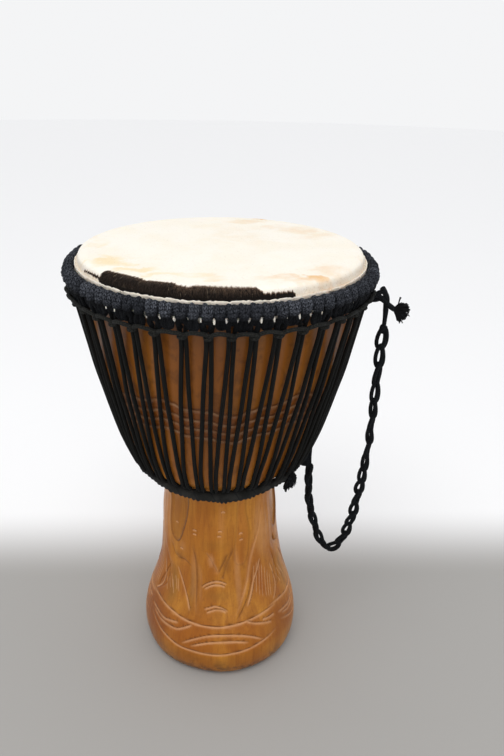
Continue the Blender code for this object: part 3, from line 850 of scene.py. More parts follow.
def smooth_line(points, steps):
    """A smooth curve through the points, with some steps between each two."""
    spots = [np.array(point, float) for point in points]
    made = []
    for index in range(len(spots) - 1):
        before = spots[max(index - 1, 0)]
        here = spots[index]
        there = spots[index + 1]
        after = spots[min(index + 2, len(spots) - 1)]
        for step in range(steps):
            part = step / steps
            straight = (there - before) * part
            bend = (2.0 * before - 5.0 * here + 4.0 * there - after) * part ** 2
            twist = (3.0 * here - before - 3.0 * there + after) * part ** 3
            made.append(here + 0.5 * (straight + bend + twist))
    made.append(spots[-1])
    return made


def smooth_loop(points, steps):
    """The same through a closed loop of points."""
    padded = [points[-1], *points, points[0], points[1]]
    line = smooth_line(padded, steps)
    return line[steps:-2 * steps]


def even_line(points, spacing):
    """The points of a curve again, evenly spaced."""
    dense = np.array(points)
    runs = np.concatenate([[0.0], np.cumsum(np.linalg.norm(np.diff(dense, axis=0), axis=1))])
    count = max(2, round(runs[-1] / spacing) + 1)
    at = np.linspace(0.0, runs[-1], count)
    return np.stack([np.interp(at, runs, dense[:, axis]) for axis in range(3)], axis=1)


def pair_angles():
    rest = PAIRS - len(FRONT_PAIRS)
    step = (360.0 + FRONT_PAIRS[0] - FRONT_PAIRS[-1]) / (rest + 1)
    return list(FRONT_PAIRS) + [FRONT_PAIRS[-1] + step * (index + 1) for index in range(rest)]


def pair_spans():
    angles = pair_angles()
    return list(zip(angles, angles[1:] + [angles[0] + 360.0]))


# Carving of the foot and stem. Each stroke is (degrees, millimetres up) points.
FOOT_STROKES = (
    # The line round the foot and the swag below it.
    ((-79, 91), (-68, 91), (-54, 88), (-41, 86), (-32, 84), (-21, 82), (-12, 81), (-1, 81),
     (9, 83), (19, 85), (30, 87), (43, 88), (52, 89)),
    ((-68, 63), (-60, 57), (-51, 50), (-42, 46), (-33, 42), (-22, 41), (-11, 40), (-1, 40),
     (8, 42), (18, 44), (28, 47), (37, 50), (48, 56)),
    # Leaves between the two, left and right.
    ((-69, 74), (-58, 71), (-50, 69), (-42.5, 72), (-34, 76)),
    ((-65, 69), (-54, 64), (-44, 64), (-35, 66), (-28, 73), (-22, 80)),
    ((20, 85), (27, 79), (36, 73), (43, 69)),
    ((34, 79), (41.5, 77), (47, 77)),
    # The long leaf in the middle.
    ((-30, 48), (-21, 59), (-11, 67), (-1, 70), (11, 69), (22, 63), (33.5, 50)),
    ((-23, 48), (-11, 57), (-1, 60), (10, 60), (21, 55)),
)
STEM_STROKES = (
    ((-17, 134), (-12.6, 140), (-5.4, 144.5), (0, 144), (5.5, 140)),
    ((-15, 132), (-10, 137), (-5.3, 139.5), (0, 139), (4.0, 136)),
    ((-14, 104), (-9, 107), (-5, 109), (0, 107.5), (6, 102)),
    ((-12, 99.5), (-8, 102.5), (-4, 104.5), (0.5, 104), (4.6, 101)),
    ((-45.2, 152), (-39.4, 138), (-34.1, 125), (-29.4, 111), (-26.1, 97)),
    ((41, 166), (36, 150), (31.4, 138), (27.2, 120), (22.3, 104)),
    ((54, 148), (58.5, 122), (56, 106), (49.4, 95)),
)
# Short ticks of the gouge: (degrees, millimetres up).
TICKS = (
    (-48, 217), (-39.6, 182), (-24.3, 218), (-24.2, 212), (0.8, 221), (0.2, 213.5), (3.8, 249),
    (21.5, 213), (22, 203.5),
)
# Fine scratches of the gouge in the long hollows: (from, to).
SCRATCHES = (
    ((-55.5, 130), (-50.5, 113)), ((-52.6, 134), (-47.6, 116)), ((-49.6, 128), (-45.2, 109)),
    ((-46.8, 136), (-42.0, 117)), ((-43.5, 134), (-39.6, 116)), ((-58.5, 124), (-54.0, 107)),
    ((33.5, 160), (29.0, 122)), ((36.5, 164), (32.5, 118)), ((39.5, 160), (35.5, 112)),
    ((42.5, 156), (38.5, 108)), ((45.8, 150), (42.5, 105)), ((48.8, 142), (45.5, 103)),
    ((51.5, 134), (48.0, 102)),
)
# Edges where the wood to one side is pared down: the points, the side that is pared
# (1 is on the left of the way they run), drop and fade in mm, and how strong the
# painted shadow and the painted highlight along the edge are.
STEPS = (
    # Under the rounded form below the tongue.
    (((-53, 185), (-51.3, 178), (-49, 170), (-43.1, 166), (-38, 167.5), (-33.7, 167), (-27, 162)),
     -1, 2.4, 9.0, 0.8, 0.0),
    # The long flat beside it.
    (((-27.3, 195), (-24.3, 180), (-22.9, 165), (-22.5, 147), (-22.0, 128), (-21.4, 111), (-20, 95)),
     1, 1.8, 12.0, 0.55, 0.25),
    # The V in the middle of the stem.
    (((-12.5, 189), (-8.0, 177), (-5.0, 168), (-2.0, 156)), -1, 2.2, 8.0, 0.1, 0.6),
    (((-2.0, 156), (1.5, 166), (4.6, 175), (9.0, 187)), 1, 1.8, 7.0, 0.65, 0.0),
    (((16.0, 198), (11.1, 184), (6.2, 168), (2.6, 152), (1.0, 149)), -1, 1.4, 7.0, 0.55, 0.0),
    # The long ridge on the right and its shaded foot.
    (((48.0, 252), (46.0, 238), (42.3, 212), (35.1, 188), (29.6, 169), (25.4, 146), (22.1, 131),
      (16.4, 111), (10.8, 92)), -1, 2.0, 12.0, 0.0, 0.55),
    (((33.5, 164), (29.5, 144), (26.0, 126), (21.6, 112), (15.7, 97), (12.3, 90)), 1, 1.8, 9.0, 0.65, 0.0),
    # The outer edges of the two long hollows.
    (((-54, 152), (-58.5, 140), (-62.4, 126), (-66.5, 110), (-67, 98)), 1, 1.3, 9.0, 0.45, 0.0),
    (((58, 168), (63, 146), (64.9, 125), (62.7, 112), (56.3, 100)), -1, 1.3, 9.0, 0.45, 0.0),
)
# Rounded edges that stand proud and catch the light, with a painted highlight along
# them: points, half width and height in mm.
BEADS = (
    (((-70.5, 262), (-70.0, 240), (-68.7, 205), (-62.5, 176), (-56.0, 158), (-50.0, 152)), 3.2, 1.1),
    (((54.5, 258), (56.5, 229), (58.3, 197), (60.5, 170)), 3.0, 1.0),
    (((-20.5, 170), (-18.5, 150), (-18.0, 128), (-17.0, 108)), 4.0, 0.5),
)
# Sunk panels: outline, depth and width of the wall in mm, tone (red over 0, olive under
# it), and how dark the painted shade along the left and the right edge is.
PANELS = (
    # The tongue on the left of the stem, open under the ring.
    (((-56.6, 276), (-57.0, 244), (-56.6, 223), (-54.9, 204), (-50.8, 194), (-44.6, 191), (-40.3, 198),
      (-37.2, 211), (-34.4, 225), (-32.8, 240), (-32.2, 276)), 2.6, 2.6, -0.35, 0.6, 1.35),
    # The wider one on the right.
    (((17.8, 276), (17.6, 252), (16.3, 224), (14.6, 196), (13.2, 176), (16.5, 168), (20.0, 166),
      (23.8, 168), (27.6, 177), (30.1, 196), (30.5, 219), (27.6, 249), (26.8, 276)),
     0.9, 3.4, 0.55, 0.25, 0.42),
)
# Broad facets: middle (degrees, mm up), half sizes, tone, and how strong the painted
# shade and the painted highlight on them are.
FACETS = (
    ((-50, 120), (11, 34), -0.8, 0.12, 0.0), ((44, 120), (12, 42), 0.6, 0.14, 0.0),
    ((-43, 169), (10, 8), 0.0, 0.42, 0.0), ((6, 170), (5, 17), 0.0, 0.48, 0.0),
    ((-8, 176), (3.4, 12), 0.0, 0.0, 0.62), ((57, 170), (9, 40), 0.5, 0.1, 0.0),
    ((24, 185), (4, 40), 0.0, 0.2, 0.0), ((-26, 130), (4, 40), -0.5, 0.16, 0.0),
    ((-38, 188), (5, 10), 0.0, 0.0, 0.18), ((-2, 124), (14, 9), -0.4, 0.0, 0.0),
    ((14, 118), (6, 26), 0.0, 0.16, 0.0), ((-62, 110), (6, 30), 0.6, 0.2, 0.0),
    ((66, 118), (6, 30), 0.6, 0.14, 0.0), ((-4, 200), (16, 10), -0.3, 0.05, 0.0),
    ((50, 214), (17, 56), 0.0, 0.0, 0.42), ((-64, 60), (26, 46), 0.4, 0.42, 0.0),
    ((-70, 226), (4, 60), 0.0, 0.0, 0.4), ((61, 226), (4, 56), 0.0, 0.0, 0.4),
    ((-28, 240), (3, 36), 0.0, 0.2, 0.0), ((2, 236), (4, 44), 0.3, 0.0, 0.12),
    ((35, 148), (11, 56), 0.8, 0.2, 0.0), ((16, 148), (3.6, 52), 0.0, 0.0, 0.4),
    ((-36, 140), (8, 36), 0.7, 0.16, 0.0), ((-25, 150), (3.6, 42), 0.0, 0.0, 0.3),
)
# Four waves one above the other round the bowl: their middle heights in mm, and their
# swells: waves in a turn, bearing of a crest, swing in mm.
WAVE_LEVELS = (432.5, 418.7, 406.5, 394.3)
WAVE_SWELLS = ((6, 34.0, 6.0), (18, 15.0, 2.0), (47, 3.0, 0.5), (71, 1.0, 0.4))
WAVE_BAND_LEVEL = 413.0
# Gouges: half width and depth in mm.
FOOT_GOUGE = (1.7, 1.4)
STEM_GOUGE = (1.5, 1.3)
TICK_GOUGE = (1.2, 0.9)
SCRATCH_GOUGE = (0.75, 0.45)


class Stroke:
    """One carved line on the shell, in (degrees, millimetres up), and its gouge."""

    def __init__(self, points, steps=6, gouge=None):
        self.line = np.array(smooth_line(points, steps))
        self.gouge = gouge

    def distances(self, degrees, heights, reach):
        """For the points near it: which ones, how far in mm, on which side and how far along."""
        radius = np.interp(heights, *np.array(SHELL_OUTSIDE).T * 1000.0)
        low = self.line.min(axis=0)
        high = self.line.max(axis=0)
        pad = np.degrees(reach / radius)
        near = (heights > low[1] - reach) & (heights < high[1] + reach)
        near &= (degrees > low[0] - pad) & (degrees < high[0] + pad)
        index = np.flatnonzero(near)
        scale = np.radians(1.0) * radius[index]
        best = np.full(len(index), 1e9)
        side = np.zeros(len(index))
        along = np.zeros(len(index))
        count = len(self.line) - 1
        for step in range(count):
            (x0, y0), (x1, y1) = self.line[step], self.line[step + 1]
            run_x = (x1 - x0) * scale
            run_y = np.full(len(index), y1 - y0)
            off_x = (degrees[index] - x0) * scale
            off_y = heights[index] - y0
            part = np.clip((off_x * run_x + off_y * run_y) / (run_x ** 2 + run_y ** 2 + 1e-9), 0.0, 1.0)
            gap = np.hypot(off_x - part * run_x, off_y - part * run_y)
            closer = gap < best
            best = np.where(closer, gap, best)
            side = np.where(closer, np.sign(run_x * off_y - run_y * off_x), side)
            along = np.where(closer, (step + part) / count, along)
        return index, best, side, along

    def holds(self, degrees, heights):
        """Which of the points lie inside, where the line is an outline."""
        held = np.zeros(len(degrees), bool)
        for (x0, y0), (x1, y1) in zip(self.line, np.roll(self.line, -1, axis=0)):
            crosses = (y0 > heights) != (y1 > heights)
            rise = y1 - y0 if y1 != y0 else 1e-9
            held ^= crosses & (degrees < x0 + (heights - y0) * (x1 - x0) / rise)
        return held


PANEL_TURNS = (0.0, 120.0, 240.0)
BACK_TURNS = (-360.0, 0.0, 360.0)
PANEL_REACH = 8.0


def turned_line(points, turn):
    return [(degrees + turn, height) for degrees, height in points]


def shell_strokes():
    """Every gouged line, with the front's carving repeated on the two other sides."""
    ticks = [((x - 2.0, height), (x, height + 1.0), (x + 2.0, height)) for x, height in TICKS]
    strokes = []
    for turn in PANEL_TURNS:
        for lines, steps, gouge in (
            (FOOT_STROKES, 6, FOOT_GOUGE), (STEM_STROKES, 6, STEM_GOUGE),
            (ticks, 3, TICK_GOUGE), (SCRATCHES, 4, SCRATCH_GOUGE),
        ):
            strokes += [Stroke(turned_line(points, turn), steps, gouge) for points in lines]
    return strokes


def shell_edges():
    """The pared edges, beads and sunk panels all round: (line, numbers that go with it)."""
    steps = []
    beads = []
    panels = []
    for turn in PANEL_TURNS:
        steps += [(Stroke(turned_line(points, turn)), rest) for points, *rest in STEPS]
        beads += [(Stroke(turned_line(points, turn)), rest) for points, *rest in BEADS]
        for points, *rest in PANELS:
            panels.append((Stroke(turned_line([*points, points[0]], turn), 5), rest))
    return steps, beads, panels


def wave_heights(degrees, level):
    for count, crest, swing in WAVE_SWELLS:
        level = level + swing * np.cos(np.radians((degrees - crest) * count))
    return level


def faded_ends(along, rate):
    """1 along a line, down to 0 at its two ends."""
    return np.clip(np.minimum(along, 1.0 - along) * rate, 0.0, 1.0)


class Carving:
    """What the tools leave at each point of the shell: how deep it is gouged and pared in mm,
    how pale with raw wood and painted highlight, how dark with painted shade (and the wave
    band's stain), and how stained red (over 0) or olive."""

    def __init__(self, degrees, heights):
        self.degrees = degrees
        self.heights = heights
        self.groove, self.pared, self.cut, self.line, self.tone = np.zeros((5, len(degrees)))

    def gouge(self, stroke, turned):
        wide, deep = stroke.gouge
        index, gap, side, along = stroke.distances(turned, self.heights, 6.0)
        ends = faded_ends(along, 9.0)
        sunk = deep * ends * np.clip(1.0 - gap / wide, 0.0, 1.0) ** 0.8
        raise_to(self.groove, sunk, index)
        # Pale raw wood and a painted highlight in the groove, painted shade along its upper edge.
        raise_to(self.cut, ends * np.clip(1.25 - gap / wide * 1.1, 0.0, 1.0), index)
        upper = ends * np.clip(1.0 - np.abs(side * gap - wide * 1.15) / (wide * 0.55), 0.0, 1.0)
        raise_to(self.line, upper * min(1.0, 0.8 * deep), index)

    def pare(self, edge, turned, hand, drop, fade, dark, light):
        index, gap, side, along = edge.distances(turned, self.heights, fade * 1.8)
        ends = faded_ends(along, 5.0)
        low = side * hand > 0.0
        self.pared[index] += np.where(low, drop * ends * np.exp(-2.0 * gap / fade), 0.0)
        self.pared[index] += np.where(low, 0.0, drop * ends * 0.35 * np.exp(-gap / 1.2))
        # Painted shadow on the pared side of the edge, and a painted highlight along it.
        shadow = np.where(low, np.exp(-(gap / 1.8) ** 2), np.exp(-(gap / 0.7) ** 2))
        raise_to(self.line, dark * ends * shadow, index)
        lit = np.exp(-(gap / 2.0) ** 2) * np.where(low, 0.5, 1.0)
        raise_to(self.cut, light * ends * lit, index)

    def leave_bead(self, edge, turned, wide, rise):
        index, gap, side, along = edge.distances(turned, self.heights, wide * 2.0)
        ends = faded_ends(along, 5.0)
        self.pared[index] -= rise * ends * np.exp(-(gap / wide) ** 2 * 1.6)
        # A painted highlight along the bead.
        raise_to(self.cut, 0.22 * ends * np.exp(-(gap / wide * 1.8) ** 2), index)

    def sink_panel(self, edge, turned, drop, wall, shade, dark_left, dark_right):
        inside = edge.holds(turned, self.heights)
        index, gap = edge.distances(turned, self.heights, PANEL_REACH)[:2]
        near = np.full(len(turned), PANEL_REACH)
        near[index] = np.minimum(gap, PANEL_REACH)
        part = np.clip(near / wall, 0.0, 1.0)
        self.pared += np.where(inside, drop * part * part * (3.0 - 2.0 * part), 0.0)
        low, high = edge.line[:, 0].min(), edge.line[:, 0].max()
        across = np.clip((turned - low) / (high - low) * 1.6 - 0.3, 0.0, 1.0)
        # Painted shade along the panel's edge, stronger towards one side.
        dark = dark_left + (dark_right - dark_left) * across
        rim = np.where(inside, np.exp(-(near / 2.0) ** 2), np.exp(-(near / 0.7) ** 2))
        beside = np.where(inside | (near < 2.0), 1.0, 0.0)
        raise_to(self.line, np.minimum(dark * rim, 1.0) * beside)
        self.tone += np.where(inside, shade * part, 0.0)

    def flatten(self, middle, half_sizes, turned, shade, dark, light):
        """A broad facet, in colour only: its tone, its painted shade and its painted highlight."""
        wide, tall = half_sizes
        square = ((turned - middle[0]) / wide) ** 2 + ((self.heights - middle[1]) / tall) ** 2
        share = np.clip(1.0 - square, 0.0, 1.0)
        self.tone += shade * share
        raise_to(self.line, dark * share)
        raise_to(self.cut, light * share)

    def cut_waves(self):
        for level in WAVE_LEVELS:
            gap = (self.heights - wave_heights(self.degrees, level)) * 0.96
            raise_to(self.groove, 1.6 * np.clip(1.0 - np.abs(gap) / 2.0, 0.0, 1.0) ** 0.8)
            # Pale raw wood and a painted highlight low in each groove, painted shade above it.
            broken = 1.0 + 0.3 * np.sin(np.radians(self.degrees * 23.0 + level * 7.0))
            raise_to(self.cut, broken * np.clip(1.4 - np.abs(gap + 0.4) / 1.3, 0.0, 1.0))
            raise_to(self.line, np.clip(1.15 - np.abs(gap - 2.5) / 1.5, 0.0, 1.0))

    def stain_bands(self):
        """The bands of the waves and of the foot's leaves are redder."""
        middle = wave_heights(self.degrees, WAVE_BAND_LEVEL)
        band = np.clip((25.0 - np.abs(self.heights - middle)) / 6.0, 0.0, 1.0)
        self.tone += 1.3 * band
        raise_to(self.line, 0.24 * band)
        over_rim = np.clip((self.heights - 38.0) / 6.0, 0.0, 1.0)
        self.tone += 0.5 * over_rim * np.clip((90.0 - self.heights) / 8.0, 0.0, 1.0)


def raise_to(layer, values, index=slice(None)):
    layer[index] = np.maximum(layer[index], values)


def carve(degrees, heights):
    """The whole carving at points of the shell. Bearings are turned both ways as well, so
    that a line may run on past the back."""
    made = Carving(degrees, heights)
    steps, beads, panels = EDGES
    for turn in BACK_TURNS:
        turned = degrees + turn
        for stroke in STROKES:
            made.gouge(stroke, turned)
        for edge, numbers in steps:
            made.pare(edge, turned, *numbers)
        for edge, numbers in beads:
            made.leave_bead(edge, turned, *numbers)
        for edge, numbers in panels:
            made.sink_panel(edge, turned, *numbers)
        for middle, half_sizes, shade, dark, light in FACETS:
            for panel in PANEL_TURNS:
                made.flatten(middle, half_sizes, turned - panel, shade, dark, light)
    made.cut_waves()
    made.stain_bands()
    return made


def smooth_profile(heights):
    """The shell's outer radius, smoothly through its stations."""
    station, radius = np.array(SHELL_OUTSIDE).T
    slopes = np.gradient(radius, station)
    index = np.clip(np.searchsorted(station, heights) - 1, 0, len(station) - 2)
    span = station[index + 1] - station[index]
    part = np.clip((heights - station[index]) / span, 0.0, 1.0)
    start = (1.0 + 2.0 * part) * (1.0 - part) ** 2
    end = part ** 2 * (3.0 - 2.0 * part)
    rise = part * (1.0 - part) ** 2 * span
    fall = part ** 2 * (part - 1.0) * span
    ends = start * radius[index] + end * radius[index + 1]
    return ends + rise * slopes[index] + fall * slopes[index + 1]


SHELL_STEPS = 200
# Rows of faces up the shell's outside: the height each part ends at and its rows.
SHELL_ROWS = ((0.016, 5), (0.265, 69), (0.345, 19), (0.465, 39), (0.565, 15), (0.576, 4))
# Rows of the hollow are marked by this and their station's number, in place of a height.
HOLLOW_MARK = 1.0
# How near a cut in mm the faces are split the first and the second time.
REFINE_REACH = (3.0, 1.3)


def shell_rows():
    rows = [np.zeros(1)]
    start = 0.0
    for end, count in SHELL_ROWS:
        rows.append(np.linspace(start, end, count + 1)[1:])
        start = end
    return np.concatenate([*rows, HOLLOW_MARK + np.arange(len(SHELL_HOLLOW))])


def shell_tube():
    """A closed tube of faces of radius 1, up the outside and down the hollow, finer near
    the carving."""
    levels = shell_rows()
    turns = np.radians(360.0 * np.arange(SHELL_STEPS) / SHELL_STEPS)
    ring = np.stack([np.sin(turns), -np.cos(turns)], axis=1)
    points = [np.column_stack([ring, np.full(SHELL_STEPS, level)]) for level in levels]
    mesh = bpy.data.meshes.new("shell_of_wood")
    mesh.from_pydata(np.concatenate(points).tolist(), [], round_faces(len(levels), SHELL_STEPS))
    shape = bmesh.new()
    shape.from_mesh(mesh)
    for reach in REFINE_REACH:
        refine_near_carving(shape, reach)
    shape.to_mesh(mesh)
    shape.free()
    return mesh


def round_faces(rows, steps):
    """The faces between rings of points, each joined to the next and the last to the first."""
    faces = []
    for row in range(rows):
        here = row * steps
        above = (row + 1) % rows * steps
        for step in range(steps):
            after = (step + 1) % steps
            faces.append((here + step, here + after, above + after, above + step))
    return faces


def shell_mesh(material):
    """The tube laid on the shell's form, a little out of round and carved."""
    mesh = shell_tube()
    place = np.empty(len(mesh.vertices) * 3, np.float32)
    mesh.vertices.foreach_get("co", place)
    place = place.reshape(-1, 3).astype(float)
    degrees = np.degrees(np.arctan2(place[:, 0], -place[:, 1]))
    level = place[:, 2]
    outside = level < HOLLOW_MARK - 0.1
    hollow = np.array(SHELL_HOLLOW)
    marks = HOLLOW_MARK + np.arange(len(hollow))
    height = np.where(outside, level, np.interp(level, marks, hollow[:, 0]))
    radius = np.where(outside, smooth_profile(level), np.interp(level, marks, hollow[:, 1]))
    carved = carve(degrees, level * 1000.0)
    depth = np.where(outside, carved.groove + carved.pared, 0.0)
    turn = np.radians(degrees)
    waver = 0.0006 * np.sin(3.0 * turn + 9.0 * height)
    waver = waver + 0.0004 * np.sin(7.0 * turn - 23.0 * height + 1.0)
    waver = np.where(outside, waver * np.clip((0.55 - height) / 0.05, 0.0, 1.0), 3.0 * waver)
    radius = radius + waver - depth * 0.001
    aside = np.where(outside, throat_offset(height), 0.0)
    place = np.column_stack([radius * np.sin(turn) + aside, -radius * np.cos(turn), height])
    mesh.vertices.foreach_set("co", place.astype(np.float32).ravel())
    for name in ("cut", "line", "tone"):
        store_values(mesh, name, np.where(outside, getattr(carved, name), 0.0))
    finish_faces(mesh, material)
    return mesh


def refine_near_carving(shape, reach):
    """Splits the faces that lie within reach of a cut."""
    centres = np.array([face.calc_center_median() for face in shape.faces])
    degrees = np.degrees(np.arctan2(centres[:, 0], -centres[:, 1]))
    heights = centres[:, 2] * 1000.0
    wanted = np.zeros(len(centres), bool)
    steps, beads, panels = EDGES
    edges = [edge for edge, rest in steps] + [edge for edge, rest in panels]
    for turn in BACK_TURNS:
        for stroke in STROKES:
            pad = reach + stroke.gouge[0]
            index, gap = stroke.distances(degrees + turn, heights, pad)[:2]
            wanted[index] |= gap < reach
        for edge in edges:
            index, gap = edge.distances(degrees + turn, heights, reach)[:2]
            wanted[index] |= gap < reach * 0.8
    for middle in WAVE_LEVELS:
        wanted |= np.abs(heights - wave_heights(degrees, middle)) < reach * 0.9
    wanted &= heights < 500.0
    shape.faces.ensure_lookup_table()
    split = {edge for index in np.flatnonzero(wanted) for edge in shape.faces[index].edges}
    bmesh.ops.subdivide_edges(shape, edges=list(split), cuts=1, use_grid_fill=True)


def finish_faces(mesh, material):
    """Turns the faces outwards, smooths and paints them."""
    shape = bmesh.new()
    shape.from_mesh(mesh)
    bmesh.ops.recalc_face_normals(shape, faces=shape.faces)
    shape.to_mesh(mesh)
    shape.free()
    mesh.polygons.foreach_set("use_smooth", [True] * len(mesh.polygons))
    mesh.materials.append(material)


# The skin from its middle out, down its side, round the trimmed collar, down behind
# the crown, out in the fold that shows between the hitches, and back underneath.
SKIN_LINE = (
    (0.5779, 0.0), (0.5779, 0.156), (0.5778, 0.159), (0.5774, 0.1626), (0.5765, 0.1655),
    (0.5748, 0.1676), (0.5725, 0.1687), (0.57, 0.1693), (0.5664, 0.1697), (0.5646, 0.1702),
    (0.565, 0.1712), (0.5664, 0.1718), (0.5666, 0.1726), (0.565, 0.1731), (0.56, 0.1728),
    (0.5535, 0.1726), (0.5512, 0.1752), (0.55, 0.1764), (0.5475, 0.1768), (0.545, 0.1764),
    (0.5437, 0.174), (0.544, 0.17), (0.5455, 0.1678), (0.56, 0.168), (0.569, 0.1676),
    (0.5745, 0.1664), (0.5757, 0.1648), (0.5764, 0.162), (0.5766, 0.156), (0.5766, 0.0),
)
SKIN_STEPS = 1008
# Where the hair was left on: degrees, and how far its upper edge is from the rim
# towards the middle (under 0: it starts down the side).
HAIR_EDGE = (
    (-62.5, -0.0056), (-60.0, -0.0044), (-56.0, -0.004), (-51.5, -0.004), (-48.9, -0.0036),
    (-48.7, 0.0056), (-48.2, 0.008), (-46.5, 0.0084), (-39.6, 0.0102), (-33.5, 0.0092),
    (-30.5, 0.0078), (-29.1, 0.0056), (-27.5, 0.0066), (-24.0, 0.0086), (-18.0, 0.0096),
    (-17.2, 0.0088), (-16.6, 0.005), (-12.6, 0.0016), (-10.9, 0.0008), (-10.3, 0.0034),
    (-9.5, 0.0042), (-6.0, 0.005), (-1.4, 0.004), (2.7, 0.0026), (6.7, 0.0018), (11.3, 0.0022),
    (12.6, 0.002), (13.2, -0.0004), (14.5, -0.0028), (19.0, -0.003), (25.0, -0.0036), (26.2, -0.007),
)


def skin_height(x, y):
    """The head's slight unevenness: it is drawn down a little towards the rim in places."""
    reach = math.hypot(x, y) / 0.16
    ripple = math.sin(31.0 * x + 8.0) * math.cos(27.0 * y) * 0.0003
    return ripple * max(0.0, 1.0 - reach ** 4)


# Over what width the upper edge thins out, by degrees, in metres.
HAIR_FADE = (
    (-62.0, 0.0004), (-49.0, 0.0008), (-47.0, 0.0016), (-30.0, 0.003), (-17.0, 0.0034), (-10.0, 0.007),
    (4.0, 0.008), (11.0, 0.005), (14.0, 0.001), (26.0, 0.0006),
)
HAIR_JAG = ((3.1, 0.0005), (7.3, 0.00055), (17.9, 0.00035), (31.7, 0.00035), (57.1, 0.0003))


def hair_top(degrees):
    """How far down from the rim along the skin the hair starts, in metres."""
    bearings, edges = np.array(HAIR_EDGE).T
    edge = np.interp(degrees, bearings, edges, left=-1.0, right=-1.0)
    jag = sum(size * np.sin(degrees * count + count) for count, size in HAIR_JAG)
    return -(edge + jag)


def hair_depth(degrees):
    """How far down the hair goes from its upper edge: only a thin line at its left end."""
    return np.interp(degrees, (-62.0, -50.0, -48.6), (0.002, 0.0036, 0.05))


def hair_cover(degrees, out):
    """1 where hair grows, out metres down from the rim along the skin, less along its upper edge."""
    bearings, fades = np.array(HAIR_FADE).T
    fade = np.interp(degrees, bearings, fades)
    down = out - hair_top(degrees)
    depth = hair_depth(degrees)
    ramp = fade + np.minimum(0.0024, depth * 0.3)
    return np.clip((down + fade) / ramp, 0.0, 1.0) * np.clip((depth - down) / 0.0006, 0.0, 1.0)


def ripple(turn, counts):
    """Waves round the drum added up: (waves in a turn, height)."""
    return sum(size * math.sin(turn * count + count) for count, size in counts)


# Uneven cut of the skin's trimmed edge, and how it stands in and out.
COLLAR_CUT = (
    (13, 0.0003), (29, 0.00022), (47, 0.00024), (83, 0.00024), (131, 0.00022), (197, 0.00018),
    (263, 0.00014),
)
COLLAR_STAND = ((37, 0.00016), (71, 0.00016), (149, 0.00012))
COLLAR_HEIGHT = 0.5645
FOLD_HEIGHTS = (0.544, 0.5525)
FOLD_RADIUS = 0.1738
FOLD_SWELL = 0.0068
FOLD_HALF_WIDTH = 0.0024
# Radii of the rings that the flat of the skin is split into, on top and underneath.
FLAT_RADII = (0.0, 0.02, 0.05, 0.08, 0.105, 0.125, 0.138, 0.146)
FLAT_END = 0.1515
UNDER_RADII = (0.12, 0.06)
UNDER_HEIGHT = 0.5766
# The stations from the flat's end to the trimmed edge's inside are spaced evenly.
BEND_STATIONS = 15
BEND_SPACING = 0.0011
RIM_RADIUS = 0.1672
HAIR_ROWS = 6
HAIR_STEPS = 320
# Hairs: seed, hairs to the square metre, length, radius, curl and spread.
HAIR_STRANDS = (7, 1700000.0, 0.006, 0.00024, 0.12, 0.2)


def skin_rows():
    """Stations (height, radius) of the flat middle, the bend over the rim, and the rest."""
    flat = [(HEAD_HEIGHT, radius) for radius in FLAT_RADII]
    bend = even_profile([(HEAD_HEIGHT, FLAT_END), *SKIN_LINE[1:BEND_STATIONS]], BEND_SPACING)
    under = [(UNDER_HEIGHT, radius) for radius in UNDER_RADII]
    return flat, bend, [*SKIN_LINE[BEND_STATIONS:-1], *under, SKIN_LINE[-1]]


def even_profile(stations, spacing):
    line = smooth_line(stations, 8)
    points = np.column_stack([np.array(line), np.zeros(len(line))])
    return [tuple(spot[:2]) for spot in even_line(points, spacing)]


def skin_runs(rows):
    """Which station is at the rim, and how far from it each one is along the skin."""
    rim = next(index for index, (height, radius) in enumerate(rows) if radius > RIM_RADIUS)
    runs = np.concatenate([[0.0], np.cumsum(np.hypot(*np.diff(np.array(rows), axis=0).T))])
    return rim, runs - runs[rim]


def skin_mesh(material):
    """The goatskin: flat, over the rim and down, trimmed, and out again in a fold."""
    flat, bend, rest = skin_rows()
    rows = flat + bend + rest
    rim, runs = skin_runs(rows)
    swells = fold_swells()
    points = []
    covers = []
    sides = []
    rings = []
    for number, (height, radius) in enumerate(rows):
        if radius == 0.0:
            rings.append([len(points)] * SKIN_STEPS)
            points.append((0.0, 0.0, height))
            covers.append(0.0)
            sides.append(0.0)
            continue
        rings.append(list(range(len(points), len(points) + SKIN_STEPS)))
        out = runs[number]
        collar = number > rim + 6 and height > COLLAR_HEIGHT
        fold = FOLD_HEIGHTS[0] <= height <= FOLD_HEIGHTS[1] and radius > FOLD_RADIUS
        side = min(1.0, max(0.0, out / 0.004)) if number > rim and not fold else 0.0
        for step in range(SKIN_STEPS):
            degrees = 360.0 * step / SKIN_STEPS
            bearing = (degrees + 180.0) % 360.0 - 180.0
            turn = math.radians(degrees)
            reach = radius
            lift = height
            if collar:
                lift += ripple(turn, COLLAR_CUT) - 0.0004
                reach += ripple(turn, COLLAR_STAND)
            if fold:
                reach += swells[step]
            x = reach * math.sin(turn)
            y = -reach * math.cos(turn)
            if radius < 0.16 and height > 0.57:
                lift += skin_height(x, y)
            points.append((x, y, lift))
            covers.append(float(hair_cover(bearing, out)) if number <= rim + 9 else 0.0)
            sides.append(side)
    faces = []
    for lower, upper in zip(rings, rings[1:]):
        for step in range(SKIN_STEPS):
            after = (step + 1) % SKIN_STEPS
            corners = [lower[step], lower[after], upper[after], upper[step]]
            faces.append(tuple(dict.fromkeys(corners)))
    mesh = bpy.data.meshes.new("goatskin_head")
    mesh.from_pydata(points, [], faces)
    store_values(mesh, "hair", covers)
    store_values(mesh, "side", sides)
    finish_faces(mesh, material)
    return mesh


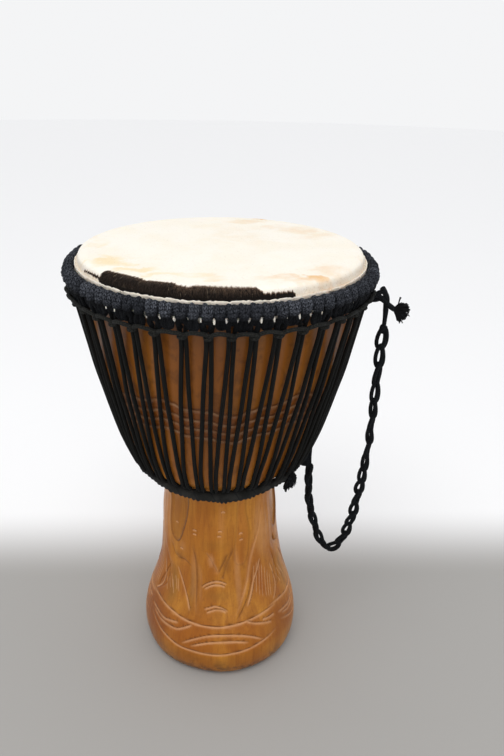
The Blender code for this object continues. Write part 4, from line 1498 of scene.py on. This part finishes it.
def fold_swells():
    """How far the skin's lower fold swells out between the hitches, step by step round."""
    gaps = np.array([bearing + share / 2.0 for bearing, share in hitch_bearings()])
    swells = []
    for step in range(SKIN_STEPS):
        degrees = 360.0 * step / SKIN_STEPS
        away = np.abs((gaps - degrees + 180.0) % 360.0 - 180.0).min()
        near = math.radians(away) * CROWN_RADIUS / FOLD_HALF_WIDTH
        uneven = 0.75 + 0.25 * math.sin(degrees * 0.9) * math.sin(degrees * 0.37 + 1.0)
        swells.append(FOLD_SWELL * uneven * math.exp(-near ** 2) - 0.0004)
    return swells


def hair_patch():
    """The patch of skin that hair grows on, with the way it lies and how long it is."""
    rows = skin_rows()[1]
    rim, runs = skin_runs(rows)
    low = HAIR_EDGE[0][0]
    high = HAIR_EDGE[-1][0]
    last = rim + HAIR_ROWS
    points = []
    lays = []
    covers = []
    fringes = []
    reaches = []
    for number in range(last + 1):
        height, radius = rows[number]
        before = rows[max(number - 1, 0)]
        after = rows[number + 1]
        out = float(runs[number])
        left = float(runs[last]) - out
        for step in range(HAIR_STEPS + 1):
            bearing = low + (high - low) * step / HAIR_STEPS
            points.append(polar(bearing, radius, height))
            down = polar(bearing, after[1], after[0]) - polar(bearing, before[1], before[0])
            down = down.normalized()
            clump = 0.1 * math.sin(bearing * 5.3) + 0.08 * math.sin(bearing * 12.7 + 2.0)
            lays.append(down + polar(bearing, 0.1, 0.0) + polar(bearing + 90.0, clump, 0.0))
            covers.append(float(hair_cover(bearing, out)))
            fringes.append(max(0.0, 1.0 - (out - float(hair_top(bearing))) / 0.0045))
            thin = 0.3 + 0.7 * float(np.clip((0.001 - hair_top(bearing)) / 0.004, 0.0, 1.0))
            short = min(1.0, max(0.4, (left + 0.0012) / 0.006))
            reaches.append(thin * short * (1.0 - 0.45 * min(1.0, fringes[-1])))
    faces = []
    for number in range(last):
        for step in range(HAIR_STEPS):
            here = number * (HAIR_STEPS + 1) + step
            above = here + HAIR_STEPS + 1
            corners = (here, here + 1, above + 1, above)
            if min(covers[corner] for corner in corners) > 0.5:
                faces.append(corners)
    mesh = bpy.data.meshes.new("hair_patch")
    mesh.from_pydata(points, [], faces)
    store_values(mesh, "lay", lays)
    store_values(mesh, "reach", reaches)
    store_values(mesh, "fringe", fringes)
    return mesh


# One hitch of the crown, x out from the ring, y along it, z up. A fat turn is (side, out,
# up), a thin bar (how far down, half length, thickness).
HITCH_TURNS = ((-1.0, 0.0043, 0.0041), (1.0, 0.0034, 0.0031))
HITCH_BARS = ((0.0034, 0.0044, 0.86), (0.0066, 0.004, 0.8))
HITCH_LEG = (
    (0.003, 0.0022, -0.0056), (0.0022, 0.0023, -0.0084), (0.0017, 0.0026, -0.0108),
    (0.0011, 0.0035, -0.0131), (0.0005, 0.0045, -0.0153),
)
# A tied hitch's legs go on down to the strands of its pair, a plain one's meet in a drop.
TIED_END = ((-0.0006, 0.0046, -0.0175), (-0.0018, 0.0042, -0.02), (-0.003, 0.0036, -0.0228))
DROP_END = (
    (0.0002, 0.0044, -0.0172), (-0.0004, 0.0036, -0.0194), (-0.0008, 0.0018, -0.0208),
    (-0.001, 0.0, -0.0212),
)
TIED_MIDDLE = ((0.0022, 0.0, -0.006), (0.0016, 0.0, -0.01), (-0.0006, 0.0, -0.0134))
DROP_MIDDLE = ((0.0016, 0.002, -0.006), (0.0004, 0.0042, -0.012), (-0.0008, 0.0036, -0.019))


def hitch_lines(tied):
    """Two fat turns over the ring, thin bars across under them, and two legs below."""
    lines = []
    for side, out, up in HITCH_TURNS:
        turn = []
        for step in range(11):
            part = step / 10.0
            angle = math.radians(152.0 - 174.0 * part)
            along = side * 0.0029 + 0.0012 * (part - 0.5)
            turn.append((out * math.cos(angle), along, up * math.sin(angle)))
        lines.append((turn, 1.17, False))
    for low, half, thick in HITCH_BARS:
        bar = []
        for step in range(7):
            part = step / 6.0 * 2.0 - 1.0
            drop = low + 0.0006 * part ** 2 - 0.0004 * part
            bar.append((0.0066 - 0.0036 * part ** 4, half * part, -drop))
        lines.append((bar, thick, False))
    leg = [tuple(spot) for spot in smooth_line(HITCH_LEG + (TIED_END if tied else DROP_END), 2)]
    if tied:
        lines += [(on_side(leg, side), 1.06, False) for side in (-1.0, 1.0)]
        lines.append((TIED_MIDDLE, 1.15, False))
    else:
        lines.append((on_side(leg[:-1], -1.0) + leg[::-1], 1.06, False))
        lines += [(on_side(DROP_MIDDLE, side), 1.0, False) for side in (-0.5, 0.5)]
    return lines


def on_side(line, side):
    return [(out, side * along, up) for out, along, up in line]


def hitch_bearings():
    """Where the hitches are, a tied and a plain one in turn: (degrees, width in degrees)."""
    spans = pair_spans()
    places = []
    for index, (angle, following) in enumerate(spans):
        before = spans[index - 1]
        places.append((angle, (following - angle + before[1] - before[0]) / 4.0))
        places.append((angle + (following - angle) / 2.0, (following - angle) / 2.0))
    return places


def hitch_places(tied):
    even = 360.0 / HITCHES
    places = []
    for bearing, share in hitch_bearings()[0 if tied else 1::2]:
        turns = (0.0, 0.0, math.radians(bearing - 90.0))
        places.append((polar(bearing, CROWN_RADIUS, CROWN_HEIGHT), turns, (1.0, share / even, 1.0)))
    return places


CROWN_ROPE = 0.0026
CROWN_STEPS = 180
CROWN_CORE_RADIUS = CROWN_RADIUS - 0.0012
CROWN_CORE_HEIGHT = CROWN_HEIGHT + 0.0002
# Ropes that run round inside the hitches: name, radius and rise.
CROWN_INSIDES = (("crown_core", 0.005, 0.0), ("crown_inner_rope", 0.0044, -0.0038))


def crown_mesh(material):
    parts = []
    tree = hitch_tree()
    for name, tied, seed in (("tied_hitches", True, 4), ("plain_hitches", False, 9)):
        inputs = {
            "Rope Radius": CROWN_ROPE, "Sides": 8, "Turn Jitter": 0.11, "Size Jitter": 0.09,
            "Seed": seed, "Rope Material": material,
        }
        pattern = pattern_mesh(name, hitch_lines(tied), hitch_places(tied))
        hitches = grow(name, tree, pattern, inputs)
        lay_rope_map(hitches, 0.003)
        parts.append(hitches)
    for name, radius, rise in CROWN_INSIDES:
        core = []
        for step in range(CROWN_STEPS):
            spot = polar(360.0 * step / CROWN_STEPS, CROWN_CORE_RADIUS, CROWN_CORE_HEIGHT)
            core.append((spot + Vector((0.0, 0.0, rise)), 1.0))
        parts.append(ropes(name, [core], radius, material, sides=10, spacing=0.006, closed=True))
    return join_meshes("rope_crown", parts)


# The rope under the crown, from pair to pair: part of the way, radius and height. It
# rises and falls gently to the next pair and goes twice round that pair's two strands.
WEAVE_TURN = (
    (-0.13, 0.1822, 0.5343), (-0.06, 0.1822, 0.5337), (0.0, 0.1822, 0.5332), (0.08, 0.1816, 0.5326),
    (0.14, 0.1792, 0.532), (0.105, 0.1758, 0.5313), (0.0, 0.1744, 0.5308), (-0.105, 0.1758, 0.5303),
    (-0.14, 0.179, 0.5298), (-0.08, 0.1812, 0.5292), (0.0, 0.1818, 0.529), (0.08, 0.1812, 0.5292),
    (0.14, 0.1794, 0.5301), (0.16, 0.18, 0.5318), (0.2, 0.182, 0.5336), (0.27, 0.1836, 0.5348),
    (0.38, 0.1843, 0.5357), (0.5, 0.1844, 0.536), (0.62, 0.1843, 0.5357), (0.74, 0.1836, 0.535),
)
WEAVE_ROPE = 0.0023
WEAVE_SLACK = 0.0005


def weave_mesh(material):
    spots = []
    for number, (angle, following) in enumerate(pair_spans()):
        span = following - angle
        for part, radius, height in WEAVE_TURN:
            slack = WEAVE_SLACK * math.sin(number * 2.3) * math.sin(math.pi * part)
            spots.append(tuple(polar(angle + span * part, radius, height + slack)))
    line = [(spot, 1.0) for spot in smooth_loop(spots, 5)]
    return ropes("weave_of_rope", [line], WEAVE_ROPE, material, spacing=0.0021, closed=True)


def ring_share(degrees):
    """How much of the ring's difference from front to side is reached at a bearing."""
    bearing = abs((degrees + 180.0) % 360.0 - 180.0)
    part = min(1.0, bearing / RING_FRONT_REACH)
    return part * part * (3.0 - 2.0 * part)


def throat_offset(height):
    heights, offsets = np.array(THROAT_OFFSET).T
    return np.interp(height, heights, offsets)


def lacing_radius(height):
    heights, radii = np.array(LACING_LINE).T
    return float(np.interp(height, heights, radii))


# Heights of a strand's points, and the radii that the pairs' gaps are measured at.
LACING_LEVELS = (
    0.5452, 0.5405, 0.535, 0.528, 0.515, 0.495, 0.47, 0.44, 0.41, 0.38, 0.355, 0.335, 0.318,
    0.3085, 0.3015, 0.2975,
)
LACING_TOP_RADIUS = 0.178
LACING_FOOT_RADIUS = 0.112
# Under this height the strands follow the ring, over the weave they open within this rise.
RING_PULL_HEIGHT = 0.349
PAIR_OPEN_RISE = 0.009


def lacing_mesh(material):
    """Zigzag of strands from hitch to ring and back, two of them tied together at each pair."""
    reach = RING_PULL_HEIGHT - LACING_LEVELS[-1]
    spots = []
    for angle, following in pair_spans():
        middle = (angle + following) / 2.0 + LACING_TURN
        top_gap = math.degrees(PAIR_HALF_GAP / LACING_TOP_RADIUS)
        open_gap = math.degrees(PAIR_OPEN_GAP / LACING_TOP_RADIUS)
        foot_gap = math.degrees(FOOT_HALF_GAP / LACING_FOOT_RADIUS)
        legs = (
            (angle + top_gap, middle - foot_gap, 1.0, LACING_LEVELS),
            (following - top_gap, middle + foot_gap, -1.0, LACING_LEVELS[::-1]),
        )
        for top, foot, hand, heights in legs:
            for height in heights:
                part = np.clip((PAIR_TIED_TO - height) / (PAIR_TIED_TO - MEETING_HEIGHT), 0.0, 1.0)
                stray = 0.14 * math.sin(angle * 12.9 + height * 40.0) * part * (1.0 - part) * 4.0
                spread = hand * open_gap * np.clip((height - WEAVE_TOP) / PAIR_OPEN_RISE, 0.0, 1.0)
                bearing = top + (foot - top) * part + stray + spread
                near_ring = float(np.clip((RING_PULL_HEIGHT - height) / reach, 0.0, 1.0))
                lifted = height + (RING_SIDE_RISE * ring_share(bearing) + RING_FRONT_RISE) * near_ring
                spot = polar(bearing, lacing_radius(lifted), lifted)
                spot.x += float(throat_offset(lifted))
                spots.append(tuple(spot))
    line = [(spot, 1.0) for spot in smooth_loop(spots, 3)]
    return ropes("lacing_rope", [line], LACING_RADIUS, material, spacing=0.0038, closed=True)


RING_STEPS = 1008
RING_SIDES = 20
# How much thinner than the solid the ring is under its lumps, and how high the lumps are.
RING_CLOTH = 0.0016
RING_LUMP = 0.0026


def ring_core(share):
    """Radius and height of the bottom ring's middle, by its share of the way to the side."""
    height = RING_HEIGHT + RING_FRONT_RISE + RING_SIDE_RISE * share
    return RING_RADIUS + RING_SIDE_WIDER * share, height


def bottom_ring_mesh(material):
    """The bound ring, with a row of small lumps under its cloth along the lower edge."""
    points = []
    for step in range(RING_STEPS):
        degrees = 360.0 * step / RING_STEPS
        turn = math.radians(degrees)
        lump = abs(math.sin(turn * 57.0 + 0.7 * math.sin(turn * 5.0) + 0.5 * math.sin(turn * 17.0)))
        lump *= 0.65 + 0.35 * math.sin(turn * 29.0) * math.sin(turn * 11.0 + 1.0)
        sway = 0.0004 * math.sin(turn * 9.0) + 0.0003 * math.sin(turn * 23.0 + 1.0)
        share = ring_share(degrees)
        radius, height = ring_core(share)
        for side in range(RING_SIDES):
            angle = 2.0 * math.pi * side / RING_SIDES
            low = max(0.0, -math.sin(angle - 0.35)) ** 3
            size = RING_THICKNESS - RING_CLOTH - RING_SIDE_THINNER * share
            size += sway + RING_LUMP * low * lump
            flat = 1.0 - 0.05 * max(0.0, math.cos(angle)) ** 2
            spot = polar(degrees, radius + size * flat * math.cos(angle), height + size * math.sin(angle))
            spot.x += float(throat_offset(RING_HEIGHT))
            points.append(tuple(spot))
    mesh = bpy.data.meshes.new("bound_ring")
    faces = round_faces(RING_STEPS, RING_SIDES)
    mesh.from_pydata(points, [], faces)
    uv = []
    around = 2.0 * math.pi * RING_RADIUS
    for number in range(len(faces)):
        step, side = divmod(number, RING_SIDES)
        for ahead, beside in ((0, 0), (0, 1), (1, 1), (1, 0)):
            uv += [(side + beside) / RING_SIDES, around * (step + ahead) / RING_STEPS]
    mesh.uv_layers.new(name="rope").data.foreach_set("uv", uv)
    finish_faces(mesh, material)
    return mesh


# The strap's links from the top: length and half width in mm, and the turn of its face.
STRAP_LINKS = (
    (24.5, 6.7, 8.0), (25.0, 5.4, 26.0), (25.0, 4.9, -28.0), (24.5, 4.8, 18.0), (22.0, 4.3, 46.0),
    (19.0, 4.3, -42.0), (19.0, 4.3, 52.0), (20.0, 4.1, -48.0), (21.0, 4.3, 50.0), (20.0, 4.8, 40.0),
    (18.0, 5.4, 14.0), (18.0, 5.8, -34.0), (18.0, 5.2, 26.0), (17.0, 5.8, -16.0), (17.0, 5.2, 34.0),
    (17.0, 5.8, -22.0), (17.0, 5.0, 28.0), (15.6, 4.8, -36.0), (15.6, 4.6, 40.0), (15.6, 4.5, -45.0),
    (15.6, 4.5, 46.0), (15.6, 4.6, -40.0), (15.6, 4.5, 52.0), (15.6, 4.5, -45.0), (15.6, 4.5, 50.0),
    (15.6, 4.4, -40.0),
)
STRAP_ROPE = 0.0026
STRAP_SIDES = 9
# Where the plain run ends, and the turns of its knot: how far down the strap, and reach.
STRAP_PLAIN = 0.054
STRAP_KNOT = ((0.05, 0.0028), (0.0535, 0.0033))


def link_lines():
    """One link in half widths and half lengths: a pear-shaped loop, and the strand beside it."""
    loop = []
    for step in range(22):
        turn = 2.0 * math.pi * step / 22
        rise = math.sin(turn)
        loop.append((math.cos(turn) * (0.88 + 0.2 * rise), 0.38 * math.sin(1.5 * rise), rise))
    strand = []
    for step in range(9):
        part = step / 8.0 * 2.0 - 1.0
        strand.append((-0.5 * math.cos(part * math.pi / 2.0) - 0.05, -0.3 * part, 1.05 * part))
    return [(loop, 1.0, True), (strand, 1.0, False)]


def strap_mesh(material):
    """The chain-stitched strap: a short plain run, a knot, then loops, each through the last."""
    settled = [(x + aside, y, z + lower) for (x, y, z), (aside, lower) in zip(STRAP_ROUTE, STRAP_SETTLES)]
    route = even_line(smooth_line(settled, 12), 0.002)
    runs = np.concatenate([[0.0], np.cumsum(np.linalg.norm(np.diff(route, axis=0), axis=1))])
    share = (runs[-1] - STRAP_PLAIN) / sum(length for length, half_width, turn in STRAP_LINKS)
    places = []
    at = STRAP_PLAIN
    for length, half_width, turn in STRAP_LINKS:
        long = length * share
        facing = (0.0, 0.0, math.radians(turn + STRAP_FACE))
        size = (half_width * 0.001, half_width * 0.0008, long * 0.62)
        places.append(((0.0, 0.0, at + long * 0.5), facing, size))
        at += long
    pattern = pattern_mesh("strap_links", link_lines(), places, route)
    inputs = {"Rope Radius": STRAP_ROPE, "Sides": STRAP_SIDES, "Rope Material": material}
    links = grow("strap_links", link_tree(), pattern, inputs)
    lay_rope_map(links, 0.003)
    plain = []
    for spot, run in zip(route, runs):
        if run < STRAP_PLAIN + 0.006:
            plain.append((spot, 1.05 + 0.27 * min(1.0, max(0.0, 0.042 - run) / 0.012)))
    lines = [plain] + [knot_line(route, runs, at, reach) for at, reach in STRAP_KNOT]
    run = ropes("strap_run", lines, STRAP_ROPE, material, STRAP_SIDES, 0.0022)
    return join_meshes("strap_chain", [links, run])


def knot_line(route, runs, at, reach):
    """A tight turn of rope round the strap."""
    index = int(np.searchsorted(runs, at))
    middle = Vector(route[index])
    ahead = (Vector(route[index + 2]) - Vector(route[index - 2])).normalized()
    across = ahead.orthogonal().normalized()
    beside = ahead.cross(across)
    line = []
    for step in range(15):
        angle = 2.0 * math.pi * 1.15 * step / 14.0
        spot = middle + across * math.cos(angle) * reach + beside * math.sin(angle) * reach
        line.append((spot + ahead * (step / 14.0 - 0.5) * 0.0018, 0.8))
    return line


# The crown's end of the strap: a doubled loop of rope out of the crown, and the tail.
CROWN_LOOPS = (
    ((0.177, -0.044, 0.53), (0.1815, -0.0428, 0.5328), (0.186, -0.0414, 0.535), (0.1905, -0.0406, 0.5348),
     (0.1942, -0.04, 0.5315), (0.196, -0.0398, 0.5258), (0.1964, -0.0392, 0.519), (0.1958, -0.0385, 0.511)),
    ((0.1765, -0.0425, 0.528), (0.18, -0.0412, 0.5305), (0.185, -0.0408, 0.5304), (0.19, -0.041, 0.5268),
     (0.195, -0.0412, 0.5216), (0.2, -0.0408, 0.517), (0.205, -0.0404, 0.5134)),
    ((0.1775, -0.0385, 0.5248), (0.1825, -0.038, 0.5246), (0.188, -0.0378, 0.5258), (0.1935, -0.038, 0.5226),
     (0.199, -0.0386, 0.5186), (0.204, -0.0394, 0.515)),
)
STRAY_YARN = (
    (0.209, -0.0404, 0.5165), (0.21, -0.0402, 0.522), (0.2107, -0.04, 0.5255),
    (0.2116, -0.04, 0.5285),
)
STRAY_THICKNESS = (0.3, 0.3, 0.3, 0.3, 0.34, 0.42, 0.5)
STRAP_NECK = (0.2048, -0.0403, 0.5142)
STRAP_TIPS = (
    (0.216, -0.0404, 0.5212), (0.2205, -0.0404, 0.5196), (0.223, -0.0404, 0.516), (0.2236, -0.0406, 0.5118),
    (0.2228, -0.0407, 0.5074), (0.221, -0.0407, 0.5032), (0.218, -0.0406, 0.4998), (0.214, -0.0406, 0.498),
    (0.21, -0.0405, 0.4996),
)
RING_NECK = (0.089, -0.0738, 0.308)
RING_TIPS = (
    (0.0942, -0.075, 0.303), (0.0945, -0.0755, 0.2975), (0.0922, -0.076, 0.2922), (0.088, -0.0765, 0.2875),
    (0.084, -0.0768, 0.2838), (0.0798, -0.0768, 0.2838), (0.0784, -0.0762, 0.289),
)
# Frayed ends: depth, yarns, seed, and loose fibres to the square metre.
STRAP_TUFT = (0.005, 150, 11, 1500000.0)
RING_TUFT = (0.004, 120, 12, 5000000.0)
# The loose fibres' length, radius, curl and spread.
LOOSE_FIBRES = (0.0066, 0.0002, 0.4, 0.7)
# The strap's lower end is tied round the ring: bearings of the turns and their width.
TIE_BEARINGS = (73.5, 84.5)
TIE_TURNS = 4
TIE_REACH = 0.0022
# Strands that hold the strap's last loop: one to the lacing, the others to the ring.
TIE_ENDS = (
    ((0.1168, -0.0228, 0.283), (0.1176, -0.0226, 0.29), (0.1176, -0.0205, 0.299), (0.1186, -0.015, 0.308),
     (0.12, -0.006, 0.317), (0.1195, 0.003, 0.325)),
    ((0.1176, -0.0232, 0.284), (0.115, -0.023, 0.29), (0.112, -0.0222, 0.2985), (0.1105, -0.019, 0.306),
     (0.109, -0.015, 0.312)),
    ((0.118, -0.0226, 0.287), (0.1135, -0.0228, 0.2892), (0.1085, -0.023, 0.29), (0.104, -0.023, 0.2935),
     (0.103, -0.022, 0.299)),
    ((0.1172, -0.0226, 0.286), (0.1158, -0.022, 0.295), (0.1146, -0.02, 0.301), (0.113, -0.016, 0.307)),
    ((0.116, -0.0228, 0.289), (0.1125, -0.0226, 0.293), (0.108, -0.0222, 0.296), (0.105, -0.021, 0.3)),
)


def yarn_lines(neck, tips, depth, yarns, seed):
    """Yarns that fan out from a frayed rope's neck to the line through the tips."""
    dice = np.random.default_rng(seed)
    neck = Vector(neck)
    rim = [Vector(spot) for spot in smooth_line(tips, 6)]
    lines = []
    for number in range(yarns):
        stray = Vector(dice.uniform(-1.0, 1.0, 3).tolist())
        end = rim[int((number + 0.5) / yarns * len(rim))]
        end = end + Vector((stray.x * 0.0009, stray.y * depth, stray.z * 0.0009))
        start = neck + Vector(dice.uniform(-0.0014, 0.0014, 3).tolist())
        bulge = Vector((0.0, stray.y * depth * 0.4, 0.0012))
        reach = 1.0 - 0.3 * float(dice.random()) ** 1.6
        thick = float(dice.uniform(0.15, 0.27))
        line = []
        for step in range(7):
            part = step / 6.0 * reach
            spot = start.lerp(end, part) + bulge * math.sin(math.pi * part)
            line.append((spot, thick * (0.75 + 0.6 * part)))
        lines.append(line)
    return lines


def tie_lines():
    """Turns of rope round the bottom ring that hold the strap's lower end, and the end itself."""
    first, last = TIE_BEARINGS
    share = ring_share(first)
    middle, level = ring_core(share)
    reach = RING_THICKNESS - 0.001 - RING_SIDE_THINNER * share + TIE_REACH
    turns = []
    steps = TIE_TURNS * 16
    for step in range(steps + 1):
        angle = 2.0 * math.pi * TIE_TURNS * step / steps
        bearing = first + (last - first) * step / steps
        spot = polar(bearing, middle + reach * math.cos(angle), level + reach * math.sin(angle))
        spot.x += float(throat_offset(RING_HEIGHT))
        turns.append((spot, 1.0))
    lines = [turns]
    for spots in TIE_ENDS:
        lines.append([(Vector(spot), 1.0) for spot in smooth_line(spots, 4)])
    return lines


def fuzz_patch(name, neck, tips, size):
    """A small lump of a patch inside the yarns, for the loose fibres to stand on."""
    middle = sum((Vector(tip) for tip in tips), Vector()) / len(tips)
    centre = Vector(neck).lerp(middle, 0.7)
    lump = bmesh.new()
    bmesh.ops.create_icosphere(lump, subdivisions=2, radius=size)
    mesh = bpy.data.meshes.new(name)
    lump.to_mesh(mesh)
    lump.free()
    lays = []
    ahead = (middle - Vector(neck)).normalized()
    for vertex in mesh.vertices:
        lays.append(vertex.co.normalized() + ahead * 0.6)
        vertex.co = vertex.co + centre
    store_values(mesh, "lay", lays)
    store_values(mesh, "reach", np.ones(len(lays)))
    return mesh


def tuft_mesh(name, neck, tips, depth, yarns, seed, fibres):
    """Frayed rope: a fan of yarns, and some loose fibres among them."""
    lines = yarn_lines(neck, tips, depth, yarns, seed)
    brush = ropes(name + "_yarns", lines, STRAP_ROPE, fibre, 6, 0.0022)
    patch = fuzz_patch(name, neck, tips, 0.003)
    loose = strands(name + "_fibres", patch, fibre, seed, fibres, *LOOSE_FIBRES)
    return join_meshes(name, [brush, loose])


aim_camera()
light_the_stage()

ROPE_TREE = rope_tree()
STRAND_TREE = strand_tree()
STROKES = shell_strokes()
EDGES = shell_edges()

wood = wood_material()
skin = skin_material()
hair = hair_material()
fibre = fibre_material()
crown_rope = rope_material(
    "crown_rope", CROWN_TONES, 0.0026, columns=10.0, shade=(0.5485, 0.5575, 0.1, 1.0), tinted=True
)
weave_rope = rope_material("weave_rope", WEAVE_TONES, 0.0028)
lacing_rope = rope_material("lacing_rope", LACING_TONES, 0.003, shade=(0.53, 0.542, 1.0, 0.35))
strap_rope = rope_material("strap_rope", STRAP_TONES, 0.003)
binding = binding_material()

strap = add_piece("strap_chain", strap_mesh(strap_rope), ("strap",))

add_piece("shell_of_wood", shell_mesh(wood), ("shell",))
add_piece("goatskin_head", skin_mesh(skin), ("drumhead",))
hairs = strands("goat_hair_strip", hair_patch(), hair, *HAIR_STRANDS)
add_piece("goat_hair_strip", hairs)
add_piece("rope_crown", crown_mesh(crown_rope), ("crown_ring",))
add_piece("weave_of_rope", weave_mesh(weave_rope), ("weave_rope",))
add_piece("lacing_of_rope", lacing_mesh(lacing_rope), ("lacing",))
add_piece("bound_ring", bottom_ring_mesh(binding), ("bottom_ring",))

tail_lines = [[(spot, 1.1) for spot in smooth_line(points, 5)] for points in CROWN_LOOPS]
tail_lines.append(list(zip(smooth_line(STRAY_YARN, 2), STRAY_THICKNESS)))
tail_rope = ropes("strap_tail_rope", tail_lines, STRAP_ROPE, strap_rope, STRAP_SIDES, 0.0015)
add_piece("strap_tail_rope", tail_rope, ("strap_tail",))
tail_tuft = tuft_mesh("strap_tail_tuft", STRAP_NECK, STRAP_TIPS, *STRAP_TUFT)
add_piece("strap_tail_tuft", tail_tuft)
ring_tuft = tuft_mesh("ring_tail_tuft", RING_NECK, RING_TIPS, *RING_TUFT)
add_piece("ring_tail_tuft", ring_tuft, ("ring_tail",))
tie = ropes("strap_tie", tie_lines(), STRAP_ROPE, strap_rope, STRAP_SIDES, 0.0018)
add_piece("strap_tie", tie)
